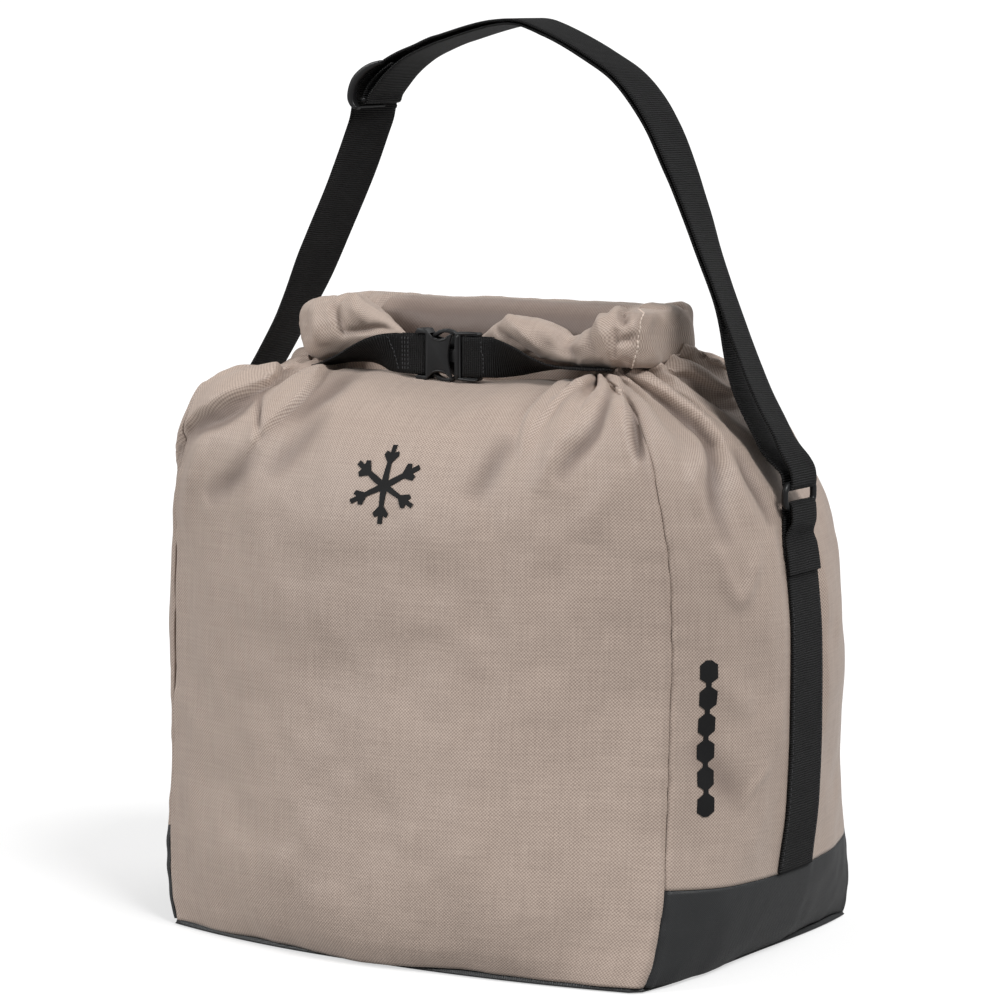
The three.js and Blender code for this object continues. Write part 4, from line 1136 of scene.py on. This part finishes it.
def roll_end_stitching(points, facing, along, station, angle):
    """Curved row of stitches across the right fold of the roll."""
    count = len(along)
    middle = int(np.argmin(np.abs(along - (0.5 * station[24] + 0.5 * station[25]))))
    outside = [j for j in range(len(angle)) if np.cos(angle[j]) > -0.1]
    outside.sort(key=lambda j: (angle[j] + np.pi) % (2 * np.pi))
    line = []
    for j in outside:
        rise = math.sin(angle[j])
        place = min(max(middle + 2.4 - 3.4 * rise - 1.6 * rise**2, 0), count - 2)
        i = int(place)
        line.append(points[i, j] * (1 - place + i) + points[i + 1, j] * (place - i))
    stitches("roll_end_stitches", line, facing[middle, outside], length=3.0, gap=0.15,
             radius=0.55, lift=0.2, body="roll_top", material=TAUPE_THREAD, slot="woven_fabric")


def build_roll():
    outer = catmull(ROLL[:, :2], ROLL_STEPS)
    along = arc_length(outer)
    station = np.array([along[np.argmin(np.linalg.norm(outer - point, axis=1))]
                        for point in ROLL[:, :2]])
    station = np.maximum.accumulate(station + np.arange(len(station)) * 1e-5)
    inner_x, inner_y, top, bottom = (pchip(station, column)(along) for column in ROLL.T[2:])
    inner = np.stack([inner_x, inner_y], -1)
    angle = np.linspace(0, 2 * np.pi, ROLL_AROUND, endpoint=False)
    back = np.exp(-((along - (station[14] + station[17]) / 2) / 95.0) ** 4)
    # superellipse section, squarer round the right end
    squareness = (2.45 - 0.4 * back
                  + 2.6 * plateau(station[18], station[20], station[24], station[26], along))
    outward = signed_power(np.cos(angle)[None], 2 / squareness[:, None])
    upward = signed_power(np.sin(angle)[None], 2 / squareness[:, None])
    plan = ((outer + inner) / 2)[:, None] + ((outer - inner) / 2)[:, None] * outward[..., None]
    height = ((top + bottom) / 2)[:, None] + ((top - bottom) / 2)[:, None] * upward
    smooth_points = np.concatenate([plan, height[..., None]], -1)
    facing = unit(np.cross(np.roll(smooth_points, -1, 1) - np.roll(smooth_points, 1, 1),
                           np.gradient(smooth_points, axis=0)))
    size = np.minimum(1, (top - bottom)[:, None] / 14.0)
    relief = roll_relief(smooth_points, facing, back[:, None], size)
    points = smooth_points + facing * relief[..., None]
    ob = roll_mesh(points, along)
    # painted shade in the hollow along the inside of the back run, less on its top, and painted
    # shade in the folds
    back_run_shade = plateau(station[13] - 30, station[13] + 26, station[18] - 20, station[18] + 16,
                     along)[:, None]
    painted_shade = 1.3 * np.clip(back_run_shade * ease(0.3, -0.3, facing[..., 1])
                         * (1 - 0.3 * ease(0.5, 1.0, facing[..., 2])), 0, 1)
    fold_shade_share = (0.6 - 0.3 * (1 - ease(station[10], station[12], along)))[:, None]
    set_painted_shade(ob, np.maximum(painted_shade, np.clip(-relief / 4.5, 0, 1) * fold_shade_share))
    finish(ob, CLOTH, "woven_fabric", "rolled_mouth", "left_rolled_end", "right_rolled_end")
    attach(ob, "roll_top")
    roll_end_stitching(points, facing, along, station, angle)
    # straight row along the hem on the back
    section = smooth_points[len(along) // 2]
    hem = int(np.argmin(np.abs(section[:, 2] - 385.9) + 100 * (section[:, 1] < 5)))
    first, last = (int(np.argmin(np.abs(along - station[k]))) for k in (13, 18))
    stitches("roll_hem_stitches", points[first:last, hem], facing[first:last, hem], length=2.6,
             gap=1.1, radius=0.3, lift=0.0, body="roll_top", material=TAUPE_THREAD,
             slot="woven_fabric")


def build_collar():
    """Short band of cloth between the shoulders and the roll."""
    rows, thickness = 7, 1.4
    t = (np.arange(rows) / (rows - 1))[None, :]
    x, y, z = (column[:, None] for column in COLLAR.T)
    outer = np.stack([x * (1 - 0.05 * t), y * (1 - 0.25 * t), z - 2.5 + 11 * t], -1)
    outward = outer - outer.mean(axis=(0, 1))
    outward[..., 2] = 0
    inner = outer - unit(outward) * thickness
    count = COLUMNS * rows
    faces = grid_faces(COLUMNS, rows, close_u=True)
    faces += grid_faces(COLUMNS, rows, close_u=True, flip=True, base=count)
    for i in range(COLUMNS):
        a, b = i * rows, (i + 1) % COLUMNS * rows
        faces.append([a, b, count + b, count + a])
        a, b = a + rows - 1, b + rows - 1
        faces.append([a, count + a, count + b, b])
    uv = np.stack(np.broadcast_arrays(arc_length(COLLAR)[:, None],
                                      np.linspace(0, 14, rows)[None, :]), -1)
    vertices = np.concatenate([outer.reshape(-1, 3), inner.reshape(-1, 3)])
    uv = np.concatenate([uv.reshape(-1, 2)] * 2)
    ob = fix_normals(new_mesh("collar_cloth", vertices, faces, uv))
    finish(ob, CLOTH, "woven_fabric", "collar")
    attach(ob, "collar")


build_roll()
build_collar()

# ------------------------------------------------------------------ closure webbing and buckle
BUCKLE = np.array([-4.5, -55.0, 367.0])
CLOSURE_WIDTH = 25.0
# front run of each strap away from the buckle: x, y, z, cross direction y, z
LEFT_RUN = [
    (-42, -55.8, 367, -0.06, 1), (-50, -56.0, 366.8, -0.3, 0.96), (-58, -55.6, 366.2, -0.6, 0.8),
    (-66, -54.6, 364.8, -0.82, 0.58), (-74, -53.0, 363.0, -0.93, 0.37),
    (-83, -51.0, 360.6, -0.98, 0.2), (-93, -47.0, 358.2, -1, 0.09), (-102, -41, 356.2, -1, 0.03),
    (-107, -35, 355.4, -1, 0), (-108.5, -28, 355.0, -0.97, 0)]
RIGHT_RUN = [
    (28, -56.2, 367, -0.1, 1), (38, -56.2, 366.6, -0.45, 0.88), (48, -55.8, 365.8, -0.7, 0.68),
    (58, -54.6, 364.6, -0.9, 0.42), (68, -52.6, 363.4, -0.98, 0.2), (77, -49.6, 362.8, -1, 0.07),
    (86, -45.0, 362.6, -1, 0.02), (94, -40.0, 362.6, -1, 0), (99, -36, 362.6, -0.97, 0)]


def closure_strap(name, node, turn_x, side, run):
    """Strap doubled round a bar at turn_x; side is the way it leads off in x."""
    half_gap = 3.05
    # distance away from the bar, and distance behind the buckle's middle
    turn = [(19, 2.6), (12, 3.0), (2, half_gap)]
    for i in range(1, 8):
        angle = math.pi * i / 8
        turn.append((-math.sin(angle), half_gap * math.sin(math.pi / 2 + angle)))
    turn += [(2, -half_gap), (12, -3.0)]
    stations = [(turn_x + side * away, BUCKLE[1] + behind, BUCKLE[2], 0, 0, 1, CLOSURE_WIDTH)
                for away, behind in turn]
    stations += [(x, y, z, 0, cross_y, cross_z, CLOSURE_WIDTH)
                 for x, y, z, cross_y, cross_z in run]
    ob, track = web(name, stations, thickness=1.3, step=1.2, wave=0.15)
    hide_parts(node)
    return ob, track


def line_across(track, x, slant):
    """Line across the front of a closure strap at x, leaning by slant, and its normals."""
    centre, cross, facing, along, half = track
    front = [i for i in range(len(centre)) if centre[i, 1] < BUCKLE[1] - 0.5 or along[i] > 45]
    line, outward = [], []
    for a in np.linspace(-1, 1, 15):
        i = min(front, key=lambda i: abs(centre[i, 0] - (x + slant * a)))
        normal = facing[i] * (1 if facing[i, 1] < 0 else -1)
        line.append(centre[i] + cross[i] * a * (half[i] - 1.8) + normal * 0.75)
        outward.append(normal)
    return line, outward


def at_buckle(x, y, z):
    return (BUCKLE[0] + x, BUCKLE[1] + y, BUCKLE[2] + z)


left_strap, left_track = closure_strap(
    "left_closure_strap", "left_closure_webbing", BUCKLE[0] - 17.2, -1, LEFT_RUN)
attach(left_strap, "roll_top")
right_strap, right_track = closure_strap(
    "right_closure_strap", "right_closure_webbing", BUCKLE[0] + 11.9, 1, RIGHT_RUN)
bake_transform(right_strap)
for name, track, x, slant, body in (
        ("left_strap_stitch", left_track, -44.5, -3.2, "roll_top"),
        ("left_strap_tack_a", left_track, -37.2, 0, "roll_top"),
        ("left_strap_tack_b", left_track, -34.6, 0, "roll_top"),
        ("left_strap_tack_c", left_track, -32.0, 0, "roll_top"),
        ("right_strap_stitch", right_track, 21.6, -0.8, "buckle_plug")):
    stitches(name, *line_across(track, x, slant), length=1.9, gap=0.75, radius=0.26, lift=0.12,
             body=body)

bevelled("buckle_socket", "roll_top", width=0.75)
bevelled("buckle_plug", "buckle_plug", width=0.5)
bevelled("upper_latch_arm", "upper_latch_arm", width=0.4)
bevelled("lower_latch_arm", "lower_latch_arm", width=0.4)
# curved rims on the socket face and straight rails on the plug: name, y, points (x, z),
# radii, step, body
for name, y, points, radii, step, body in (
        ("socket_rim", -4.45, [(-12.2, 13.0), (-9.3, 10.5), (-5, 9.4), (-0.8, 10.2), (1.8, 12.0)],
         [0.25, 0.55, 0.6, 0.55, 0.25], 0.8, "roll_top"),
        ("plug_rail", -2.6, [(6.4, 13.6), (12, 14.3), (18, 14.6), (22, 14.4)],
         [0.5, 1.0, 1.0, 0.8], 0.9, "buckle_plug")):
    for end, sign in (("_upper", 1), ("_lower", -1)):
        path = [at_buckle(x, y, sign * z) for x, z in points]
        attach(tube(name + end, path, radii, segments=10, step=step), body)
cross_bar = tube("plug_cross_bar", [at_buckle(7.6, -2.7, z) for z in np.linspace(-13.6, 13.6, 12)],
                 1.15, segments=12)
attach(cross_bar, "buckle_plug")

# ------------------------------------------------------------------ shoulder strap
RING_X, RING_LOW, RING_HIGH = 212.0, 281.5, 295.5    # rings, and their lower and upper bars
LOOP_RADIUS = 3.1                                    # strap's turn round a ring bar
LOOP_WIDTH, STRAP_WIDTH = 31.0, 40.0
PLY_OFFSET = 1.35                                    # each ply from the middle of the pair
# centre lines as (x, z): over the top to the right ring, and from the left ring upwards
STRAP_RUN = [
    (-79.2, 545.6), (-67, 551.6), (-50, 556.8), (-33, 562), (-11, 568.2), (8, 572.2), (22, 572.4),
    (38, 567.4), (54, 560.6), (72, 551.2), (90, 540.2), (104, 526), (116, 508.5), (127.5, 485),
    (138.5, 458.5), (149.2, 431), (160, 404.5), (171.5, 377.5), (185.5, 347), (197.5, 326.5),
    (207, 310.5), (210.8, 303.6), (RING_X, RING_HIGH)]
LEFT_LEG = [(-RING_X, RING_HIGH), (-210.8, 303.6), (-206.6, 310.5), (-196.5, 325),
            (-184.5, 343), (-172.5, 361)]
LEFT_LEG_UPPER = [
    (-172.5, 361), (-161.5, 379), (-150.7, 398.5), (-137.6, 425), (-124.5, 451), (-112, 477),
    (-101.4, 502), (-97.9, 511), (-95.9, 520), (-92.2, 530.2), (-85.2, 538.6), (-76, 545.4),
    (-64, 551.8), (-50, 557.2)]
# inner ply down to the slider, and its end beyond the slider's centre bar
SLIDER_RETURN = [(-50, 554.6), (-60, 550.2), (-68.5, 544.8), (-76, 538.6), (-83.2, 530.8),
                 (-87.4, 525.6)]
SLIDER_END = [(-90.6, 528.0), (-84.8, 535.6), (-77.6, 541.6), (-70, 546.4)]
SLIDER_BAR = (-90.6, 523.0)
PLY_SPLIT = 118.0                        # distance along the run where the inner ply is cut
STRAP_LEAN, STRAP_TURN = math.radians(11.0), math.radians(13.0)


def strap_width(from_ring):
    return LOOP_WIDTH + (STRAP_WIDTH - LOOP_WIDTH) * ease(4, 40, from_ring)


def loop_offset(ply, near, far, from_ring):
    """Offset of a ply that opens out to the ring bar's radius close to the ring."""
    return ply + (LOOP_RADIUS - ply) * (1 - ease(near, far, from_ring))


def offset_line(line, shift):
    """Line moved to its left by shift(along, total); returns it with along and total."""
    points = catmull(line, 64)
    along = arc_length(points)
    tangent = unit(np.gradient(points, axis=0))
    left = np.stack([-tangent[:, 1], tangent[:, 0]], -1)
    return points + left * shift(along, along[-1])[:, None], along, along[-1]


def strap_station(point, width, angle=0.0):
    return (point[0], 0.0, point[1], math.sin(angle), math.cos(angle), 0.0, width)


def ring_loop(side):
    angles = [-math.pi * i / 8 for i in range(9)]
    return [strap_station((side * RING_X + LOOP_RADIUS * math.cos(a),
                           RING_HIGH + LOOP_RADIUS * math.sin(a)), LOOP_WIDTH) for a in angles]


def strap_turn(from_ring):
    """Both plies turn a little on the way down to the right ring."""
    return -STRAP_TURN * float(plateau(8, 34, 120, 250, from_ring))


def inner_ply_offset(from_ring):
    return loop_offset(PLY_OFFSET, 6, 26, from_ring) + 9.0 * plateau(4, 30, 62, 128, from_ring)


def left_leg_stations():
    """Short inner end, round the left ring and up the outer ply."""
    points, along, _ = offset_line(LEFT_LEG, lambda s, total: -loop_offset(2.3, 0, 9, s))
    stations = [strap_station(points[i], strap_width(along[i]))
                for i in range(len(along) - 1, -1, -1) if 4 < along[i] < 30 and i % 2 == 0]
    stations += ring_loop(-1)
    points, along, total = offset_line(LEFT_LEG, lambda s, total: loop_offset(0, 2, 34, s))
    stations += [strap_station(points[i], strap_width(along[i]))
                 for i in range(0, len(along), 2) if 4 < along[i] < total - 4]
    for k, point in enumerate(catmull(LEFT_LEG_UPPER, 90)[2:]):
        stations.append(strap_station(point, STRAP_WIDTH, STRAP_LEAN * float(ease(2, 26, k))))
    return stations


def shoulder_strap():
    stations = left_leg_stations()
    points, along, total = offset_line(
        STRAP_RUN, lambda s, total: loop_offset(PLY_OFFSET, 6, 26, total - s))
    for point, s in zip(points, along):
        if point[0] > -44 and total - s > 4:
            lean = STRAP_LEAN * float(1 - ease(40, 120, s))
            stations.append(
                strap_station(point, strap_width(total - s), strap_turn(total - s) + lean))
    stations += ring_loop(1)
    points, along, total = offset_line(
        STRAP_RUN, lambda s, total: -inner_ply_offset(total - s))
    inner = [(point, s) for point, s in zip(points[::-1], along[::-1]) if s > 12 and total - s > 4]
    stations += [strap_station(point, strap_width(total - s), strap_turn(total - s))
                 for point, s in inner if s >= PLY_SPLIT]
    ob, _ = web("shoulder_strap_cloth", stations, thickness=1.5, step=2.2, wave=0.2)
    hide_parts("shoulder_webbing")
    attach(ob, "shoulder_strap")

    # the rest of the inner ply, round the slider's centre bar
    path = [point for point, s in inner if s < PLY_SPLIT and point[0] > -42] + SLIDER_RETURN
    for i in range(1, 8):
        angle = math.radians(25) - math.radians(190) * i / 8
        path.append((SLIDER_BAR[0] + 2.2 * math.cos(angle), SLIDER_BAR[1] + 2.2 * math.sin(angle)))
    path += SLIDER_END
    join = (*stations[-1][:3], 0, 1, 0, STRAP_WIDTH)
    stations = [join] + [strap_station(point, STRAP_WIDTH - 0.5) for point in path]
    ob, _ = web("slider_return_strap", stations, thickness=1.3, step=1.4, wave=0.08, seed=8)
    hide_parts("slider_webbing_end")
    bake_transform(ob)


def ring(side, word):
    """Rounded rectangular ring standing across the strap."""
    corner, half_y = 5.5, 18.5
    middle_z, half_z = (RING_LOW + RING_HIGH) / 2, (RING_HIGH - RING_LOW) / 2
    path = []
    for sign_y, sign_z, first in ((1, 1, 0), (-1, 1, 90), (-1, -1, 180), (1, -1, 270)):
        for i in range(9):
            angle = math.radians(first + 90 * i / 8)
            path.append((side * RING_X, sign_y * (half_y - corner) + corner * math.cos(angle),
                         middle_z + sign_z * (half_z - corner) + corner * math.sin(angle)))
    ob = tube(word + "_loop_ring", path, 2.1, segments=18, closed=True, step=0.9)
    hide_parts(word + "_ring")
    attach(ob, word + "_ring")


def anchor(side, word):
    """Top end of a side strap: up over the ring's lower bar and back down on itself."""
    def wall_x(z):
        return float(half_width(z) + side_bow(z)) + (float(right_middle(z)) if side > 0 else 0.0)
    path = [(wall_x(z) + 3.3, z) for z in (241, 246, 252, 258, 264)]
    path.append((RING_X + LOOP_RADIUS + 0.35, 272.5))
    for i in range(11):
        angle = math.pi * i / 10
        path.append((RING_X + LOOP_RADIUS * math.cos(angle),
                     RING_LOW + LOOP_RADIUS * math.sin(angle)))
    path += [(209.6, 275), (max(209.8, wall_x(268) + 1.5), 268)]
    path += [(wall_x(z) + 1.7, z) for z in (260, 252)]
    stations = []
    for x, z in path:
        width = LOOP_WIDTH + (STRAP_WIDTH - LOOP_WIDTH) * float(ease(274, 254, z))
        stations.append(strap_station((side * x, z), width))
    ob, _ = web(word + "_anchor_strap", stations, thickness=1.4, step=1.4, wave=0.12, seed=12)
    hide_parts(word + "_anchor_loop")
    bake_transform(ob)


# (x, z) outlines of the slider's cheeks
CHEEK_OUTER = [(-93.8, 516.6), (-97.8, 518.4), (-100.6, 523.0), (-100.4, 529.0), (-97.0, 537.0),
               (-90.4, 543.0), (-83, 546.6), (-76, 548.2)]
CHEEK_INNER = [(-93.2, 519.0), (-95.0, 520.6), (-96.0, 524.0), (-95.2, 529.0), (-91.8, 534.8),
               (-86.4, 539.8), (-80.4, 543.4), (-75, 545.8)]


def slider():
    """Two curved cheeks joined by three round bars."""
    outer, inner = catmull(CHEEK_OUTER, 44), catmull(CHEEK_INNER, 44)
    angle = np.arange(20) * 2 * math.pi / 20
    outward = signed_power(np.cos(angle), 0.6)[None, :, None]
    sideways = signed_power(np.sin(angle), 0.6)
    section = ((outer + inner) / 2)[:, None] + ((outer - inner) / 2)[:, None] * outward
    parts = []
    for word, y_low, y_high in (("near", -25.4, -19.6), ("far", 19.6, 22.6)):
        y = (y_low + y_high) / 2 + (y_high - y_low) / 2 * sideways
        y = np.broadcast_to(y, section.shape[:2])
        ob = loft("slider_cheek_" + word, np.stack([section[..., 0], y, section[..., 1]], -1))
        finish(ob, PLASTIC, "moulded_plastic")
        parts.append(ob)
    for word, (x, z), radius in (("lower", (-94.8, 518.6), 1.15), ("upper", (-81.4, 545.2), 1.2),
                                 ("centre", SLIDER_BAR, 1.4)):
        path = [(x, y, z) for y in np.linspace(-22.0, 21.0, 24)]
        parts.append(tube("slider_%s_bar" % word, path, radius, segments=14))
    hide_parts("strap_slider")
    for part in parts:
        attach(part, "strap_slider")


shoulder_strap()
for build in (ring, anchor):
    build(1, "right")
    build(-1, "left")
slider()

# ------------------------------------------------------------------ parts that lie on the cloth
SIDE_HALF = STRAP_WIDTH / 2


def surface(panel, across, up):
    """Points and normals on a panel; across is from its middle, up is along the cloth."""
    points, facing, columns, rows = panel
    i = np.interp(across + columns[-1] / 2, columns, np.arange(len(columns)))
    j = np.interp(up, rows, np.arange(len(rows)))
    i0 = np.clip(np.floor(i).astype(int), 0, len(columns) - 2)
    j0 = np.clip(np.floor(j).astype(int), 0, len(rows) - 2)
    fi, fj = (i - i0)[..., None], (j - j0)[..., None]

    def sample(grid):
        return (grid[i0, j0] * (1 - fi) * (1 - fj) + grid[i0 + 1, j0] * fi * (1 - fj)
                + grid[i0, j0 + 1] * (1 - fi) * fj + grid[i0 + 1, j0 + 1] * fi * fj)
    return sample(points), unit(sample(facing))


def side_web(panel, word):
    """Strap up the middle of a side, bridging the cloth's small wrinkles."""
    name = word + "_side_strap"
    up = np.linspace(61.5, 256, 90)
    across = np.array([-1, -0.985, -0.75, -0.5, -0.25, 0, 0.25, 0.5, 0.75, 0.985, 1]) * SIDE_HALF
    a, v = np.meshgrid(across, up, indexing="ij")
    points, facing = surface(panel, a, v)
    x = points[..., 0]
    for _ in range(6):
        x[:, 1:-1] = (x[:, :-2] + 2 * x[:, 1:-1] + x[:, 2:]) / 4
        x[1:-1] = (x[:-2] + 2 * x[1:-1] + x[2:]) / 4
    edge = np.where(np.abs(across) > SIDE_HALF - 0.1, 0.62, 0)[:, None]
    outer = points + facing * (2.1 - edge)[..., None]
    inner = points + facing * (0.45 + edge * 0.3)[..., None]
    ob = fix_normals(closed_sheet(name, outer, inner, np.stack([v, a], -1)))
    finish(ob, WEBBING, "webbing", word + "_side_webbing")
    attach(ob, "bag")
    for letter, offset, column in (("a", -18, 1), ("b", 18, -2)):
        along = np.linspace(64, 228, 140)
        line, normal = surface(panel, np.full_like(along, offset), along)
        line[:, 0] = np.interp(along, up, x[column])
        stitches(name + "_stitch_" + letter, line + normal * 2.15, normal, length=2.4, gap=1.3,
                 radius=0.22, lift=0.06, body="bag")


def emblem(panel, name, node, outline, across, up):
    """Flat shape printed on a panel, cut finely enough to follow the cloth."""
    offset, thickness, cell = 0.25, 0.32, 1.6
    bm = bmesh.new()
    bm.faces.new([bm.verts.new((x, y, 0)) for x, y in outline])
    for values, axis in zip(zip(*outline), ((1, 0, 0), (0, 1, 0))):
        cut = min(values) + cell
        while cut < max(values):
            bmesh.ops.bisect_plane(bm, geom=bm.verts[:] + bm.edges[:] + bm.faces[:],
                                   plane_co=(cut * axis[0], cut * axis[1], 0),
                                   plane_no=axis, dist=1e-6)
            cut += cell
    bmesh.ops.triangulate(bm, faces=bm.faces)
    bm.verts.ensure_lookup_table()
    flat = np.array([(v.co.x, v.co.y) for v in bm.verts])
    faces = [[v.index for v in f.verts] for f in bm.faces]
    border = [[v.index for v in e.verts] for e in bm.edges if len(e.link_faces) == 1]
    bm.free()
    points, facing = surface(panel, flat[:, 0] + across, flat[:, 1] + up)
    count = len(points)
    vertices = np.concatenate([points + facing * (offset + thickness), points + facing * offset])
    faces = (faces + [[a + count for a in f[::-1]] for f in faces]
             + [[a, b, b + count, a + count] for a, b in border])
    uv = np.concatenate([flat, flat])
    ob = fix_normals(new_mesh(name, vertices, faces, uv, smooth_shade=False))
    finish(ob, PRINT, "print", node)
    return ob


def star_outline(radius, notch_radius, arms, width):
    """Star of arms, each with a pair of side barbs."""
    # share of the radius and of the arm's width, up one side of an arm
    flank = [(0.55, 0.5), (0.74, 1.75), (0.84, 1.3), (0.8, 0.5), (1, 0.5)]
    arm = [(radius * r, -width * w) for r, w in flank]
    arm += [(r, -w) for r, w in arm[::-1]]
    points = []
    for k in range(arms):
        angle = math.pi / 2 + 2 * math.pi * k / arms
        c, s = math.cos(angle), math.sin(angle)
        points += [(c * out - s * side, s * out + c * side) for out, side in arm]
        notch = angle + math.pi / arms
        points.append((math.cos(notch) * notch_radius, math.sin(notch) * notch_radius))
    return points


def stud_outline(count, width, height, neck):
    """Upright row of studs joined by narrow necks."""
    right = []
    for k in range(count):
        y = (k - (count - 1) / 2) * height
        right += [(neck, y - height / 2 + 1.2), (width / 2, y - height / 4),
                  (width / 2, y + height / 4), (neck, y + height / 2 - 1.2)]
    return right + [(-x, y) for x, y in right[::-1]]


def bottom():
    """Coated bottom sheet with a turned-up edge."""
    # distance out from the wall line, and z, from the underside round the edge to the top
    profile = [(-9, 0.35), (-3.5, 0.05), (-1.2, 0.1), (0.4, 0.6), (-0.4, 1.6), (-0.9, 3.0),
               (-1.6, 3.6), (-4.0, 3.8)]
    outline = body_ring(0.0)
    outward = outline.copy()
    outward[:, 2] = 0
    outward = unit(outward)
    grid = np.stack([outline + outward * out + np.array([0, 0, z]) for out, z in profile], 1)
    count, rows = grid.shape[:2]
    vertices = np.concatenate([grid.reshape(-1, 3), [[0, 0, 0.35], [0, 0, 3.8]]])
    faces = grid_faces(count, rows, close_u=True)
    under, over = count * rows, count * rows + 1
    for i in range(count):
        a, b = i * rows, (i + 1) % count * rows
        faces.append([under, b, a])
        faces.append([a + rows - 1, b + rows - 1, over])
    ob = fix_normals(new_mesh("coated_bottom", vertices, faces, vertices[:, :2]))
    finish(ob, COATED, "coated_fabric", "bottom_panel")
    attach(ob, "bag")


side_web(PANELS[RIGHT], "right")
side_web(PANELS[LEFT], "left")
front_mark = emblem(PANELS[FRONT], "front_mark", "front_emblem",
                    star_outline(radius=25, notch_radius=4.2, arms=6, width=3.1),
                    across=2.0, up=297)
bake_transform(front_mark)
side_mark = emblem(PANELS[RIGHT], "side_mark", "side_emblem",
                   stud_outline(count=6, width=11, height=16, neck=1.6), across=-90, up=150)
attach(side_mark, "bag")
bottom()

# ------------------------------------------------------------------ stage
CAMERA_PLACE = (1354.990, -2190.855, 594.058)
CAMERA_YAW, CAMERA_PITCH = math.radians(31.76609), math.radians(7.150501)   # left, down
CAMERA_LENS, CAMERA_SENSOR = 147.26808, 36
FLOOR_HALF, FLOOR_Z = 420000, -0.4


def add_camera():
    data = bpy.data.cameras.new("camera")
    data.sensor_width = CAMERA_SENSOR
    data.lens = CAMERA_LENS
    data.clip_start, data.clip_end = 0.05, 2000        # metres
    camera = bpy.data.objects.new("camera", data)
    bpy.context.scene.collection.objects.link(camera)
    forward = Vector((-math.sin(CAMERA_YAW) * math.cos(CAMERA_PITCH),
                      math.cos(CAMERA_YAW) * math.cos(CAMERA_PITCH), -math.sin(CAMERA_PITCH)))
    right = Vector((math.cos(CAMERA_YAW), math.sin(CAMERA_YAW), 0))
    turn = Matrix((right, right.cross(forward), -forward)).transposed()
    camera.matrix_world = Matrix.Translation(Vector(CAMERA_PLACE) * MM) @ turn.to_4x4()
    bpy.context.scene.camera = camera


def add_floor():
    corners = [(x * FLOOR_HALF, y * FLOOR_HALF, 0) for x, y in ((-1, -1), (1, -1), (1, 1), (-1, 1))]
    floor = new_mesh("floor", corners, [(0, 1, 2, 3)], smooth_shade=False)
    s = Shader("floor_pale", (0.4, 0.4, 0.4), roughness=0.95, specular=0.0)
    # glows to the camera only, so that it looks white without lighting the bag
    seen = s.node("ShaderNodeLightPath").outputs["Is Camera Ray"]
    s.drive(Emission_Color=(1, 1, 1, 1), Emission_Strength=s.calc("MULTIPLY", seen, 0.6))
    set_material(floor, s.material)
    floor.location.z = FLOOR_Z * MM


def add_world():
    world = bpy.data.worlds.new("world")
    bpy.context.scene.world = world
    world.use_nodes = True
    background = world.node_tree.nodes["Background"]
    background.inputs["Color"].default_value = (1, 1, 1, 1)
    background.inputs["Strength"].default_value = 0.28


def add_sun(name, azimuth, elevation, strength, softness):
    """Sun from the given direction in degrees; azimuth 0 is the front, positive to the right."""
    data = bpy.data.lights.new(name, "SUN")
    data.energy = strength
    data.angle = math.radians(softness)
    sun = bpy.data.objects.new(name, data)
    turn, climb = math.radians(azimuth), math.radians(elevation)
    source = Vector((math.sin(turn) * math.cos(climb), -math.cos(turn) * math.cos(climb),
                     math.sin(climb)))
    sun.rotation_euler = source.to_track_quat("Z", "Y").to_euler()
    bpy.context.scene.collection.objects.link(sun)


add_camera()
add_floor()
add_world()
add_sun("key", azimuth=-43, elevation=26, strength=1.75, softness=16)
add_sun("fill", azimuth=69, elevation=49, strength=2.5, softness=20)
add_sun("rim", azimuth=150, elevation=50, strength=0.8, softness=40)
bpy.context.scene.view_settings.view_transform = "Standard"
for node in ("base_board", "mouth_stiffener"):
    set_material(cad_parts[node], BOARD)
